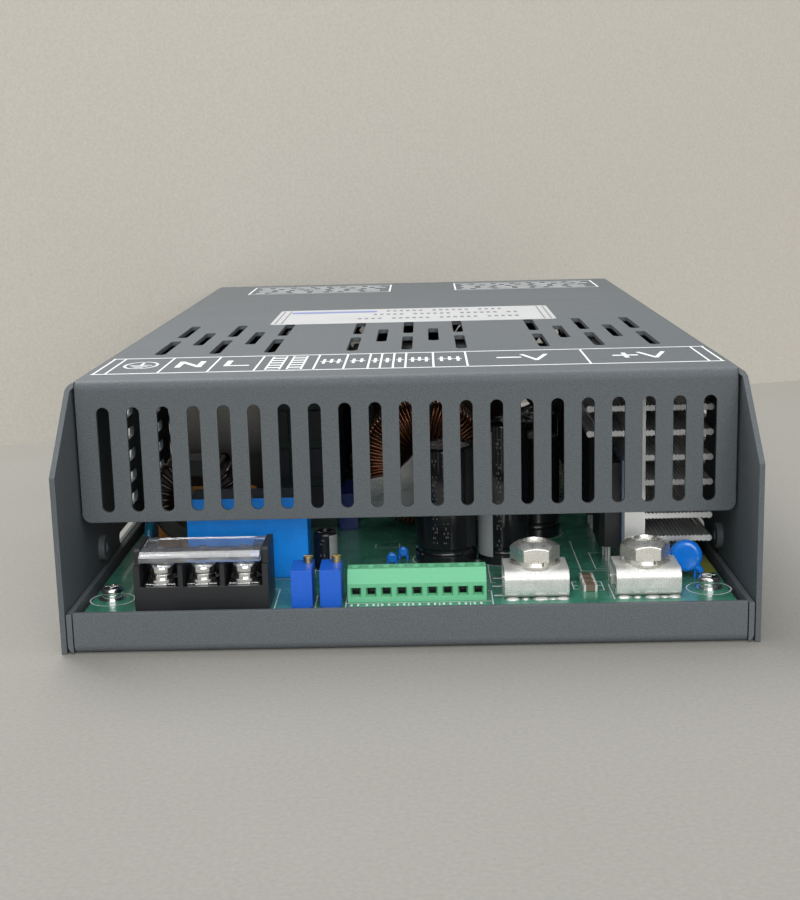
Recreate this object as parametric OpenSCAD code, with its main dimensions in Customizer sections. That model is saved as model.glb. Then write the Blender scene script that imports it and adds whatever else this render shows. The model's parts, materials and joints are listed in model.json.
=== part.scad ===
// Open-front switching power supply: folded tray and slotted cover round a loaded circuit board.
// X runs across the front, Y runs from the front lip to the rear fans, Z is up from the floor.

/* [Case] */
// Width over the cover's side panels
case_w = 156; // [154:0.5:190]
// Height over the cover's top
case_h = 58.5; // [57:0.5:80]
// Length from the front lip to the cover's rear edge
case_l = 270; // [266:1:320]
// Thickness of the folded sheet
sheet_t = 1.2; // [1:0.1:1.5]
// Outer radius of the sheet's bends
bend_r = 2; // [1.7:0.1:3]
// Gap between neighbouring sheets
seam_gap = 0.3; // [0.2:0.05:0.5]
// Height of the tray's front lip
lip_h = 9.5; // [8.5:0.1:11]
// Height of the tray's side walls
tray_wall_h = 9.2; // [8:0.1:9.3]

/* [Cover front] */
// Set-back of the slotted flap behind the front lip
flap_y = 20.3; // [20:0.1:26]
// Height of the flap's lower edge
flap_bottom = 25.2; // [23:0.1:27]
// Gap between the flap's ends and the side panels
flap_side_gap = 0.6; // [0.3:0.1:1.5]
// Radius of the flap's lower corners
flap_corner_r = 2; // [0.5:0.1:4]
// Height at which the wings start to slant back
wing_h = 40.5; // [30:0.1:50]

/* [Vents] */
// Number of upright slots in the flap
flap_slot_count = 21; // [5:2:21]
// Width of the flap's slots
flap_slot_w = 3; // [2:0.1:4]
// Length of the flap's slots
flap_slot_len = 25; // [10:0.5:25]
// Distance between the flap's slots
flap_slot_pitch = 7; // [5:0.1:7]
// Height of the middle of the flap's slots
flap_slot_z = 40; // [39:0.1:42]
// Width of the slots in the top
top_slot_w = 2.9; // [2:0.1:4]
// Length of the slots in the top
top_slot_len = 28.5; // [10:0.5:32]
// Distance between neighbouring top slots in a row
top_slot_pitch = 14.35; // [11:0.05:16]
// Distance between the rows of a top cluster
top_row_pitch = 18; // [16:0.1:20]
// Distance between the three top clusters
top_cluster_pitch = 50.3; // [46:0.1:52]
// Distance of the first top row behind the front
top_row_y = 80.3; // [60:0.1:100]
// Width of the side slots
side_slot_w = 3; // [2:0.1:4]
// Length of the side slots
side_slot_len = 27; // [10:0.5:36]
// Distance between the rows of side slots
side_row_pitch = 6.1; // [5:0.1:7]
// Height of the lowest row of side slots
side_row_z = 10.7; // [10:0.1:14]
// Rows of side slots
side_rows = 6; // [1:1:6]
// Columns of side slots
side_cols = 4; // [1:1:4]
// Distance between the columns of side slots
side_col_pitch = 42; // [38:0.5:44]
// Distance of the middle of the first column behind the front
side_col_y = 73.5; // [70:0.5:80]

/* [Fixings] */
// Distance of the front clinch nut behind the front
nut_y = 38.8; // [36:0.1:44]
// Distance between the clinch nuts of one side
nut_spacing = 190; // [180:0.5:200]
// Height of the clinch nuts
nut_z = 14.3; // [13:0.1:16]
// Radius of the clinch nut's thread
nut_thread_r = 1.25; // [1.2:0.05:1.7]
// Radius of the clinch nut's body
nut_r = 3.2; // [2.6:0.1:4]
// Height of the clinch nut's body inside the panel
nut_h = 1.5; // [1:0.1:2]
// Radius of the cover screws' shanks
case_screw_r = 1.5; // [1.2:0.1:1.8]

/* [Board] */
// Thickness of the main board
board_t = 1.6; // [1.2:0.1:2]
// Height of the board's standoffs
standoff_h = 5; // [4:0.1:6]
// Gap between the board's edges and the tray's walls
board_side_gap = 1.3; // [0.5:0.1:2]
// Distance of the board's front edge behind the lip's face
board_y = 4.2; // [2:0.1:5]
// Radius of the board screws' heads
board_screw_r = 2.6; // [2.2:0.1:3]
// Distance of the corner screws from the board's side edges
board_screw_in = 4.6; // [4.2:0.1:5]

/* [Mains terminal] */
// Distance between the mains terminal's screws
ac_pitch = 9.5; // [8.5:0.1:9.6]
// Depth of the mains terminal's body
ac_depth = 13.8; // [13.4:0.1:14]
// Height of the seat under the clamp plates
ac_seat_h = 5.2; // [4.6:0.1:5.6]
// Height of the barriers between the screws
ac_barrier_h = 10.8; // [9:0.1:11.4]
// Thickness of the terminal's end walls
ac_wall = 1.35; // [1.2:0.05:2]
// Thickness of the clear cover
ac_cover_t = 1.1; // [0.8:0.1:1.4]
// Radius of the clear cover's hinge pins
ac_pin_r = 0.7; // [0.5:0.05:0.8]

/* [Output terminals] */
// Width of the output straps
dc_w = 14.8; // [13:0.1:15.5]
// Depth of the output straps
dc_depth = 13.5; // [12.5:0.1:14]
// Height of the output straps
dc_h = 6.6; // [6.2:0.1:8]
// Thickness of the output straps
dc_t = 1.4; // [1:0.1:1.6]
// Distance across the flats of the output bolts
dc_bolt_af = 10; // [8:0.5:11]

/* [Signal terminal] */
// Distance between the signal ways
sig_pitch = 3.5; // [3.2:0.05:3.6]
// Number of signal ways
sig_ways = 9; // [2:1:9]

/* [Heat sink] */
// Length of the output heat sink
sink_len = 144; // [120:1:150]
// Thickness of the heat sink's fins
fin_t = 1.6; // [1.2:0.1:2]
// Distance between the fins of a group
fin_pitch = 6.05; // [5.5:0.05:6.2]
// Distance between the ridges on the fins
ridge_pitch = 0.9; // [0.7:0.1:1.5]
// Height of the ridges on the fins
ridge_h = 0.3; // [0.1:0.05:0.4]
// Thickness of the heat sink's base
sink_base_t = 4.9; // [4:0.1:6]

/* [Fans] */
// Side of the square fan frames
fan_size = 50; // [45:0.5:52]
// Depth of the fan frames
fan_depth = 15; // [12:0.5:16]
// Distance of each fan's axis from the middle
fan_x = 37; // [28:0.5:45]
// Number of blades on a rotor
fan_blades = 7; // [3:1:9]
// Clearance of a running shaft in its bore
run_gap = 0.05; // [0.02:0.01:0.08]

/* [Hidden] */

$fn = 48;

// Flat clearance between seated pieces that must not bind
seat_gap = 0.05;
// How far a folded strip runs into the sheet that it belongs to
fold_lap = 1;
// How far a cutter passes the faces that it cuts
cut_over = 1;

// Case planes
half_w = case_w / 2;
inner_x = half_w - sheet_t;
tray_x = inner_x - seam_gap;
tray_in_x = tray_x - sheet_t;
lip_x = tray_in_x - seam_gap;
flap_x = inner_x - flap_side_gap;
roof_z = case_h - sheet_t;
rear_y = case_l - seam_gap;
rear_in_y = rear_y - sheet_t;

// Fan screws stand out behind the case, so the middle of the whole length lies half a head further back
fan_head_h = 2;
front_y = -(rear_y + fan_head_h) / 2;

// Board planes
board_half = tray_in_x - board_side_gap;
board_z = sheet_t + standoff_h;
board_top = board_z + board_t;
fan_front_y = rear_in_y - fan_depth;
board_rear_gap = 3;
board_end_y = fan_front_y - board_rear_gap;
board_screw_x = board_half - board_screw_in;
board_screw_front = 11.5;
board_screw_rear = 8;
board_screw_mid = 126.5;
board_screw_ys = [board_y + board_screw_front, board_screw_mid, board_end_y - board_screw_rear];
board_shank_r = 1.25;
standoff_af_r = 3.2;

// Mains terminal
ac_poles = 3;
ac_end_room = 0.55;
ac_len = ac_poles * ac_pitch + ac_wall + ac_end_room;
ac_edge_in = 12.05;
ac_x = -board_half + ac_edge_in + ac_len / 2;
ac_y = board_y + 1;
ac_lip_h = ac_seat_h + 0.7;
ac_end_h = ac_barrier_h + 3.6;
ac_barrier_t = 1.1;
ac_rear_t = 2.4;
ac_screw_y = 4.6;
ac_clamp_t = 1;
ac_clamp_w = ac_pitch - ac_barrier_t - 1.6;
ac_washer_r = ac_clamp_w / 2 + 0.05;
ac_shank_r = 1.7;
ac_pin_gap = 0.1;
ac_pin_y = ac_depth - 2.2;
ac_pin_z = ac_end_h - 1.3;
ac_cover_gap = 0.25;
ac_cover_w = ac_len - 2 * ac_wall - 2 * ac_cover_gap;

// Trimmers stand beside the mains terminal, the signal terminal beside the trimmers
trim_size = [4.8, 9.3, 9];
ac_to_trimmer = 5;
trim_gap = 1.7;
trim_y = board_y + 1.3;
trim_left_x = ac_x + ac_len / 2 + ac_to_trimmer + trim_size[0] / 2;
trim_right_x = trim_left_x + trim_size[0] + trim_gap;
trim_screw_r = 1.1;
trim_screw_sink = 1.5;
trim_screw_out = 1.5;
trim_screw_side = 0.2;
trim_screw_back = 2;

// Signal terminal
sig_end = 0.15;
sig_len = sig_ways * sig_pitch + 2 * sig_end;
sig_gap = 1.2;
sig_x = trim_right_x + trim_size[0] / 2 + sig_gap + sig_len / 2;
sig_y = board_y + 5.4;
sig_depth = 6.3;
sig_h = 7.3;
sig_step_h = 4.5;
sig_slope = 2.6;
sig_hole = [1.65, 1.5];
sig_funnel = [2.9, 2.85, 1.3];
sig_hole_z = 2.4;
sig_hole_depth = 4;
sig_screw_r = 1.1;
sig_screw_y = 4.5;
sig_well_depth = 2.6;

// Output terminals, counted in from the board's right edge
dc_x = [board_half - 44.75, board_half - 19.25];
dc_y = board_y + 5.6;
dc_bend_r = 2.2;
dc_bolt_y = dc_depth / 2;
dc_flat_t = 0.7;
dc_spring_t = 0.8;
dc_washer_t = dc_flat_t + dc_spring_t;
dc_washer_r = 5.8;
dc_spring_r = 4.7;
dc_head_h = 4.2;
dc_shank_r = 3;
dc_hole_r = dc_shank_r + 0.2;
dc_nut_t = 2.6;
// The nut is held flat between the strap's inner bends
dc_nut_af = dc_depth - 2 * dc_bend_r - 0.1;

// Output heat sink: its fins reach to a fixed gap from the right panel
sink_x = board_half - 22;
sink_y = 31;
sink_fin_gap = 3.8;
sink_tip_x = inner_x - sink_fin_gap;
sink_left_fin = 9.2;
sink_first_fin = 8;
sink_group_step = 8.2;
sink_top_over = 4.4;
sink_fin_zs = [sink_first_fin, sink_first_fin + 5.7,
    for (k = [0:3]) sink_first_fin + 5.7 + sink_group_step + k * fin_pitch];
sink_h = sink_fin_zs[5] + sink_top_over;
// Insulating pad between the power devices and the sink
pad_t = 0.7;
pad_low = 4;
device_back_x = sink_x - pad_t;

// Power devices in flat black cases
device_w = 15.8;
device_h = 20.8;
device_t = 5;
device_lift = 5.6;
device_lead_w = 1.2;
device_lead_t = 0.6;
device_lead_pitch = 5.45;
rectifier_ys = [sink_y + 10, sink_y + 42, sink_y + 74, sink_y + 106];
switch_ys = [112, 136, 160, 184];

// Electrolytic capacitors: place, radius and height
sleeve_t = 0.25;
rim_w = 1.2;
output_caps = [[board_half - 64.95, 45.1, 7.75, 29.6], [board_half - 50.55, 44.2, 6.3, 35.6],
    [board_half - 40.6, 68.5, 6.4, 27], [board_half - 41, 88, 8, 29.6]];

// Smaller pieces on the board: places from the board's near edge and the front
x_cap_size = [29.2, 11, 20];
x_cap_at = [-board_half + 34.9, 36.5];
small_cap_at = [-board_half + 53.1, 39.4];
small_cap_r = 3;
small_cap_h = 9.6;
relay_size = [5.2, 17, 10];
relay_at = [-board_half + 56.9, 84.6];
drop_at = [[board_half - 78.5, 39.5], [board_half - 75.8, 44.9]];
drop_r = 1.35;
chip_at = [for (y = [16.1, 19.9, 23.7]) [(dc_x[0] + dc_x[1]) / 2, y]];
chip_size = [3.2, 2.5, 1.6];
fuse_at = [-board_half + 16, 76];
fuse_r = 2.6;
fuse_len = 20;
fuse_lift = 5;
fuse_cap_len = 5;
bridge_at = [-board_half + 22.5, 85.5];
bridge_plate_size = [26, 3, 40];
bridge_size = [22, 4.4, 20];
bridge_screw_z = 19;
control_at = [-board_half + 43.6, 79];
control_size = [20, 1.6, 36];
primary_x = -board_half + 45;
primary_base_t = 4;
primary_fin_len = 6;
primary_y = 97;
primary_len = 100;
primary_h = 42;
busbar_at = [board_half - 78, 62.4];
busbar_t = 2;

// Room between a core and its wire
core_gap = 0.2;
// Wound parts: place, inner and outer radius of the core, its height, wire thickness and turns
cm_at = [-board_half + 18.4, 60];
cm_core = [6.9, 11.4, 10];
cm_wire = 1.2;
cm_turns = 7;
cm_base_t = 1.6;
// The varistor stands close before the choke's left end
varistor_r = 5;
varistor_t = 2.2;
varistor_gap = 0.4;
varistor_at = [-board_half + 8.1,
    cm_at[1] - cm_core[2] / 2 - core_gap - cm_wire - varistor_gap - varistor_r];
boost_at = [-board_half + 20, board_end_y - 31];
boost_core = [9, 16.5, 15];
boost_wire = 1.6;
boost_turns = 26;
choke_at = [board_half - 70, 80];
choke_core = [8.5, 16.5, 14];
choke_wire = 2;
choke_turns = 19;
transformer_at = [[board_half - 66, 126, 1], [board_half - 66, 184, 0.82]];

// Bulk capacitors: as many as the row in front of the boost choke holds
bulk_x = -board_half + 18;
bulk_first_y = board_screw_mid - 16.5;
bulk_pitch = 33;
bulk_r = 15;
bulk_h = 42;
bulk_end_y = boost_at[1] - boost_core[1] - core_gap - boost_wire - bulk_r;
bulk_caps = [for (y = [bulk_first_y:bulk_pitch:bulk_end_y]) [bulk_x, y, bulk_r, bulk_h]];

// Fans
fan_z = (sheet_t + roof_z) / 2;
fan_bore_r = fan_size / 2 - 1.5;
fan_hole_at = fan_size * 0.4;
fan_hole_r = 2.15;
fan_flange = 3;
fan_duct_t = 0.9;
fan_hub_r = 11.5;
fan_tip_gap = 0.8;
fan_shaft_r = 1;
fan_strut_t = 2.5;
fan_strut_w = 2;
fan_tube_r = 2.6;
fan_rotor_gap = 1;
fan_cup_t = 1.2;
guard_bar = 1.6;
guard_step = 6;

// Moves a piece from the front lip's frame to the middle of the whole length
module at_front() {
    translate([0, front_y, 0]) children();
}

// Sets a piece on the main board at a place counted from the middle and the front
module on_board(place) {
    at_front() translate([place[0], place[1], board_top]) children();
}

// Extrudes a profile drawn in X and Z along Y
module along_y(length) {
    translate([0, length, 0]) rotate([90, 0, 0]) linear_extrude(length) children();
}

// Extrudes a profile drawn in Y and Z along X, to both sides
module along_x(length) {
    rotate([90, 0, 90]) linear_extrude(length, center = true) children();
}

// Rectangle with round corners, centred
module round_rect(w, h, r) {
    square([w - 2 * r, h], center = true);
    square([w, h - 2 * r], center = true);
    for (x = [-1, 1], y = [-1, 1])
        translate([x * (w / 2 - r), y * (h / 2 - r)]) circle(r);
}

// Slot with round ends along the first axis, centred
module slot_2d(length, width) {
    square([length - width, width], center = true);
    for (s = [-1, 1])
        translate([s * (length - width) / 2, 0]) circle(d = width);
}

// Trough outline: flat bottom, round lower corners, open above
module trough_2d(half, low, high, r) {
    translate([-half + r, low]) square([2 * (half - r), high - low]);
    translate([-half, low + r]) square([2 * half, high - low - r]);
    for (s = [-1, 1])
        translate([s * (half - r), low + r]) circle(r);
}

// Folded strip in Y and Z: rises at the front and bends into the sheet behind it
module fold_2d(rise) {
    translate([0, bend_r]) square([sheet_t, rise - bend_r]);
    translate([bend_r, bend_r]) intersection() {
        difference() {
            circle(bend_r);
            circle(bend_r - sheet_t);
        }
        translate([-bend_r, -bend_r]) square(bend_r);
    }
    translate([bend_r, 0]) square([fold_lap, sheet_t]);
}

// Pan head with round edges above and below, standing on the XY plane
module pan_head(r, h) {
    edge_r = 0.42 * h;
    rotate_extrude() intersection() {
        translate([0, h / 2]) round_rect(2 * r, h, edge_r);
        square([r, h]);
    }
}

// Cross recess sunk into a head whose top lies at the given height
module cross_recess(top, size, depth) {
    for (a = [0, 90])
        rotate(a) translate([0, 0, top]) cube([size, size / 4, 2 * depth], center = true);
}

// Places of the cover screws along the case
case_screw_z = 5.2;
case_screw_ys = [24, 98, 172, 246];
case_screw_head_r = 2.7;

// Holes through the side panels or the tray's walls
module side_holes(r, places, z, low, high) {
    for (s = [-1, 1], y = places)
        translate([s * low, y, z]) rotate([0, s * 90, 0]) cylinder(r = r, h = high - low);
}

// Open pattern of a fan guard, with rings and bars left standing
module guard_2d() {
    difference() {
        circle(fan_bore_r - guard_bar / 2);
        for (r = [guard_step:guard_step:fan_bore_r - guard_bar])
            difference() {
                circle(r + guard_bar / 2);
                circle(r - guard_bar / 2);
            }
        circle(guard_bar);
        for (a = [45, 135])
            rotate(a) square([2 * fan_bore_r, guard_bar], center = true);
    }
}

// Corner holes of a fan, centred on its axis
module fan_holes_2d(r) {
    for (x = [-1, 1], z = [-1, 1])
        translate([x * fan_hole_at, z * fan_hole_at]) circle(r);
}

module tray_channel() {
    difference() {
        along_y(rear_y) difference() {
            trough_2d(tray_x, 0, tray_wall_h, bend_r);
            trough_2d(tray_in_x, sheet_t, tray_wall_h + cut_over, bend_r - sheet_t);
        }
        for (y = [-cut_over, rear_y - bend_r])
            translate([-tray_in_x, y, -cut_over])
                cube([2 * tray_in_x, bend_r + cut_over, tray_wall_h + 2 * cut_over]);
    }
}

module rear_panel() {
    low = tray_wall_h + seam_gap;
    wide = inner_x - seam_gap;
    translate([0, rear_in_y, 0]) along_y(sheet_t) difference() {
        union() {
            translate([-lip_x, bend_r]) square([2 * lip_x, roof_z - seam_gap - bend_r]);
            translate([-wide, low]) square([2 * wide, roof_z - seam_gap - low - bend_r]);
        }
        for (s = [-1, 1])
            translate([s * fan_x, fan_z]) {
                guard_2d();
                fan_holes_2d(fan_hole_r);
            }
    }
}

module base_tray() {
    color("#72787d") at_front() difference() {
        union() {
            tray_channel();
            along_x(2 * lip_x) fold_2d(lip_h);
            translate([0, rear_y, 0]) along_x(2 * lip_x) mirror([1, 0]) fold_2d(2 * bend_r);
            rear_panel();
        }
        side_holes(case_screw_r + seat_gap, case_screw_ys, case_screw_z, tray_in_x - cut_over, inner_x);
    }
}

// Lower corner of the flap that its radius takes away
module flap_corner_2d(side) {
    translate([side * (flap_x - flap_corner_r), flap_bottom + flap_corner_r]) difference() {
        translate([side * flap_corner_r, -flap_corner_r]) square(2 * flap_corner_r, center = true);
        circle(flap_corner_r);
    }
}

module flap() {
    difference() {
        translate([0, flap_y, case_h]) mirror([0, 0, 1])
            along_x(2 * flap_x) fold_2d(case_h - flap_bottom);
        translate([0, flap_y - cut_over, 0]) along_y(sheet_t + 2 * cut_over) {
            for (i = [0:flap_slot_count - 1])
                translate([(i - (flap_slot_count - 1) / 2) * flap_slot_pitch, flap_slot_z])
                    rotate(90) slot_2d(flap_slot_len, flap_slot_w);
            for (s = [-1, 1])
                flap_corner_2d(s);
        }
    }
}

module cover_channel() {
    difference() {
        along_y(case_l) translate([0, case_h]) mirror([0, 1]) difference() {
            trough_2d(half_w, 0, case_h, bend_r);
            trough_2d(inner_x, sheet_t, case_h + cut_over, bend_r - sheet_t);
        }
        // Slanted wings in front of the flap
        along_x(case_w + 2 * cut_over) polygon([[-cut_over, wing_h], [0, wing_h], [flap_y, case_h],
            [flap_y, case_h + cut_over], [-cut_over, case_h + cut_over]]);
        // The top sheet stops where the flap's bend begins
        translate([-flap_x, 0, wing_h]) cube([2 * flap_x, flap_y + bend_r, case_h]);
    }
}

// Top slots: clusters of three rows, the middle row staggered and one slot shorter
module top_vents() {
    for (c = [-1:1], row = [0:2]) {
        count = row == 1 ? 2 : 3;
        for (k = [0:count - 1])
            translate([c * top_cluster_pitch + (k - (count - 1) / 2) * top_slot_pitch,
                top_row_y + row * top_row_pitch, roof_z - cut_over])
                linear_extrude(sheet_t + 2 * cut_over) rotate(90) slot_2d(top_slot_len, top_slot_w);
    }
}

module side_vents() {
    for (s = [-1, 1])
        translate([s * (inner_x + sheet_t / 2), 0, 0]) along_x(sheet_t + 2 * cut_over)
            for (col = [0:side_cols - 1], row = [0:side_rows - 1])
                translate([side_col_y + col * side_col_pitch, side_row_z + row * side_row_pitch])
                    slot_2d(side_slot_len, side_slot_w);
}

nut_ys = [nut_y, nut_y + nut_spacing];
nut_shank_r = 2.1;

module top_cover() {
    color("#7b8186") at_front() difference() {
        union() {
            cover_channel();
            flap();
        }
        top_vents();
        side_vents();
        side_holes(nut_shank_r + seat_gap, nut_ys, nut_z, inner_x - cut_over, half_w + cut_over);
        for (s = [-1, 1], y = case_screw_ys)
            translate([s * inner_x, y, case_screw_z]) rotate([0, s * 90, 0])
                cylinder(r1 = case_screw_r + seat_gap, r2 = case_screw_head_r + seat_gap, h = sheet_t);
    }
}

module cover_screws() {
    tip = tray_in_x - 0.6;
    color("#8d9296") at_front() for (s = [-1, 1], y = case_screw_ys)
        translate([0, y, case_screw_z]) rotate([0, s * 90, 0]) difference() {
            union() {
                translate([0, 0, tip]) cylinder(r = case_screw_r, h = inner_x - tip);
                translate([0, 0, inner_x])
                    cylinder(r1 = case_screw_r, r2 = case_screw_head_r, h = sheet_t);
            }
            cross_recess(half_w, 1.4 * case_screw_r, 0.7 * sheet_t);
        }
}

module side_clinch_nuts() {
    color("#a9adb0") at_front() for (s = [-1, 1], y = nut_ys)
        translate([s * half_w, y, nut_z]) rotate([0, -s * 90, 0]) difference() {
            union() {
                cylinder(r = nut_shank_r, h = sheet_t);
                translate([0, 0, sheet_t]) cylinder(r = nut_r, h = nut_h);
            }
            translate([0, 0, -cut_over]) cylinder(r = nut_thread_r, h = sheet_t + nut_h + 2 * cut_over);
        }
}

// Puts a child at each of the board's screws
module at_board_screws() {
    at_front() for (s = [-1, 1], y = board_screw_ys)
        translate([s * board_screw_x, y, 0]) children();
}

module board_standoffs() {
    color("#c9b57a") at_board_screws() translate([0, 0, sheet_t]) difference() {
        cylinder(r = standoff_af_r, h = standoff_h, $fn = 6);
        translate([0, 0, cut_over]) cylinder(r = board_shank_r + seat_gap, h = standoff_h);
    }
}

module board_screws() {
    head_h = 2;
    flat_t = 0.5;
    stack_t = flat_t + 0.7;
    shank = board_t + standoff_h - cut_over - 0.5;
    color("#c6c8c9") at_board_screws() translate([0, 0, board_top]) difference() {
        union() {
            // Flat washer, spring washer and head
            cylinder(r = 1.2 * board_screw_r, h = flat_t);
            cylinder(r = 0.9 * board_screw_r, h = stack_t + head_h / 2);
            translate([0, 0, stack_t]) pan_head(board_screw_r, head_h);
            translate([0, 0, -shank]) cylinder(r = board_shank_r, h = shank);
        }
        cross_recess(head_h + stack_t, 1.2 * board_screw_r, 0.9);
    }
}

// Film under the board and the pad that insulates the power devices from the sink
module insulation_sheet() {
    film_t = 0.25;
    color("#d8d8cc") difference() {
        at_front() translate([-board_half, board_y, sheet_t])
            cube([2 * board_half, board_end_y - board_y, film_t]);
        at_board_screws() cylinder(r = standoff_af_r + 0.6, h = board_z);
    }
    color("#7d8894") on_board([device_back_x, sink_y]) translate([0, 0, pad_low])
        cube([pad_t, sink_len, device_lift + device_h + 1 - pad_low]);
}

module main_board() {
    color("#13704f") difference() {
        at_front() translate([-board_half, board_y, board_z])
            cube([2 * board_half, board_end_y - board_y, board_t]);
        at_board_screws() translate([0, 0, board_z - cut_over])
            cylinder(r = board_shank_r + 0.3, h = board_t + 2 * cut_over);
    }
}

// Middles of the mains terminal's screws along its length
function ac_pole_x(i) = (i - (ac_poles - 1) / 2) * ac_pitch;

module ac_terminal_body() {
    inner = ac_depth - ac_rear_t;
    barrier_y = 0.5;
    step_y = 2;
    edge_r = 0.7;
    color("#25272a") on_board([ac_x, ac_y]) difference() {
        union() {
            along_x(ac_len) polygon([[0, 0], [0, ac_lip_h], [0.9, ac_lip_h], [0.9, ac_seat_h],
                [inner, ac_seat_h], [inner, ac_barrier_h], [ac_depth, ac_barrier_h], [ac_depth, 0]]);
            for (i = [0:ac_poles - 2])
                translate([ac_pole_x(i) + ac_pitch / 2, 0, 0]) along_x(ac_barrier_t)
                    polygon([[barrier_y, ac_seat_h / 2], [barrier_y, ac_barrier_h],
                        [inner + ac_rear_t / 2, ac_barrier_h], [inner + ac_rear_t / 2, ac_seat_h / 2]]);
            for (s = [-1, 1])
                translate([s * (ac_len - ac_wall) / 2, 0, 0]) along_x(ac_wall) {
                    // End walls: low in front, a rounded ear behind that carries the hinge
                    square([ac_depth - edge_r, ac_barrier_h]);
                    translate([(step_y + ac_depth) / 2, ac_end_h / 2])
                        round_rect(ac_depth - step_y, ac_end_h, edge_r);
                    translate([step_y, 0]) square([ac_depth - step_y, ac_seat_h]);
                }
        }
        translate([0, ac_pin_y, ac_pin_z]) rotate([0, 90, 0])
            cylinder(r = ac_pin_r + ac_pin_gap, h = ac_len + 2 * cut_over, center = true);
        for (i = [0:ac_poles - 1])
            translate([ac_pole_x(i), ac_screw_y, 1]) cylinder(r = ac_shank_r + seat_gap, h = ac_seat_h);
    }
}

module ac_terminal_clamps() {
    first_y = 1.6;
    tongue = [2.9, 0.9, ac_clamp_t];
    color("#c9ccce") on_board([ac_x, ac_y]) for (i = [0:ac_poles - 1])
        translate([ac_pole_x(i), 0, ac_seat_h]) difference() {
            union() {
                translate([-ac_clamp_w / 2, first_y, 0])
                    cube([ac_clamp_w, 2 * (ac_screw_y - first_y), ac_clamp_t]);
                translate([-tongue[0] / 2, first_y - tongue[1] / 2, 0]) cube(tongue);
            }
            translate([0, ac_screw_y, -cut_over]) cylinder(r = ac_shank_r + seat_gap, h = 4 * ac_clamp_t);
        }
}

module ac_terminal_screws() {
    washer_t = 0.9;
    stack_t = washer_t + 0.6;
    head_r = 3.05;
    head_h = 2.8;
    depth = 3.6;
    color("#d3d5d6") on_board([ac_x, ac_y]) for (i = [0:ac_poles - 1])
        translate([ac_pole_x(i), ac_screw_y, ac_seat_h + ac_clamp_t]) difference() {
            union() {
                // Washer, spring washer and head
                cylinder(r = ac_washer_r, h = washer_t);
                cylinder(r = 0.85 * head_r, h = stack_t + head_h / 2);
                translate([0, 0, stack_t]) pan_head(head_r, head_h);
                translate([0, 0, -depth]) cylinder(r = ac_shank_r, h = depth + washer_t);
            }
            cross_recess(stack_t + head_h, head_r * 1.3, 1.2);
        }
}

// Clear cover at rest: flat top, front edge slanting down, ribs along both ends, hinge pins behind
module ac_terminal_cover() {
    top = ac_pin_z + 1;
    front = -1.6;
    bevel = 2;
    drop = 1;
    rear = ac_pin_y + 1;
    under = top - ac_cover_t;
    knee = front + bevel + 0.4;
    rib_t = 2.2;
    rib_h = 1.5;
    pip_r = 0.9;
    pip_h = 0.2;
    color([0.85, 0.88, 0.9, 0.45]) on_board([ac_x, ac_y]) {
        along_x(ac_cover_w) polygon([[front, under - drop], [front, top - drop], [front + bevel, top],
            [rear, top], [rear, under], [knee, under]]);
        // Moulded pips above the screws
        for (i = [0:ac_poles - 1])
            translate([ac_pole_x(i), ac_screw_y, top - pip_h]) cylinder(r = pip_r, h = 2 * pip_h);
        for (s = [-1, 1]) {
            translate([s * (ac_cover_w - rib_t) / 2, 0, 0]) along_x(rib_t)
                polygon([[knee, under - rib_h], [knee, under + ac_cover_t / 2],
                    [rear, under + ac_cover_t / 2], [rear, under - rib_h / 2]]);
            translate([s * (ac_cover_w / 2 - 0.5), ac_pin_y, ac_pin_z]) rotate([0, s * 90, 0])
                cylinder(r = ac_pin_r, h = ac_cover_gap + ac_wall * 0.8 + 0.5);
        }
    }
}

// Place of a trimmer's screw in the trimmer's own frame
trim_screw_at = [trim_size[0] / 2 - trim_screw_r - trim_screw_side, trim_size[1] - trim_screw_back];

module trimmer_body(x) {
    foot = 0.5;
    step = 1.2;
    color("#3f74c8") on_board([x, trim_y]) difference() {
        union() {
            translate([-trim_size[0] / 2, 0, foot]) cube([trim_size[0], trim_size[1], trim_size[2] - foot]);
            for (y = [0, trim_size[1] - step])
                translate([-trim_size[0] / 2 + 0.4, y, 0]) cube([trim_size[0] - 0.8, step, 2 * foot]);
        }
        translate([trim_screw_at[0], trim_screw_at[1], trim_size[2] - trim_screw_sink])
            cylinder(r = trim_screw_r + run_gap, h = trim_screw_sink + cut_over);
    }
}

module trimmer_screw(x) {
    tall = trim_screw_sink + trim_screw_out - run_gap;
    color("#b08d4a") on_board([x, trim_y])
        translate([trim_screw_at[0], trim_screw_at[1], trim_size[2] - trim_screw_sink + run_gap])
            difference() {
                cylinder(r = trim_screw_r, h = tall);
                translate([0, 0, tall]) cube([4 * trim_screw_r, 0.5, 1.2], center = true);
            }
}

module trimmer_left_body() {
    trimmer_body(trim_left_x);
}

module trimmer_right_body() {
    trimmer_body(trim_right_x);
}

module trimmer_left_screw() {
    trimmer_screw(trim_left_x);
}

module trimmer_right_screw() {
    trimmer_screw(trim_right_x);
}

// Middle of each signal way along the terminal
function sig_way_x(i) = (i - (sig_ways - 1) / 2) * sig_pitch;

// Tapered mouth of a way: width and height in front, then its depth
module sig_mouth() {
    intersection() {
        along_x(2 * sig_funnel[0])
            polygon([[-cut_over, -sig_funnel[1] / 2], [sig_funnel[2], -sig_hole[1] / 2],
                [sig_funnel[2], sig_hole[1] / 2], [-cut_over, sig_funnel[1] / 2]]);
        translate([0, 0, -sig_funnel[1]]) linear_extrude(2 * sig_funnel[1])
            polygon([[-sig_funnel[0] / 2, -cut_over], [sig_funnel[0] / 2, -cut_over],
                [sig_hole[0] / 2, sig_funnel[2]], [-sig_hole[0] / 2, sig_funnel[2]]]);
    }
}

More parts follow.
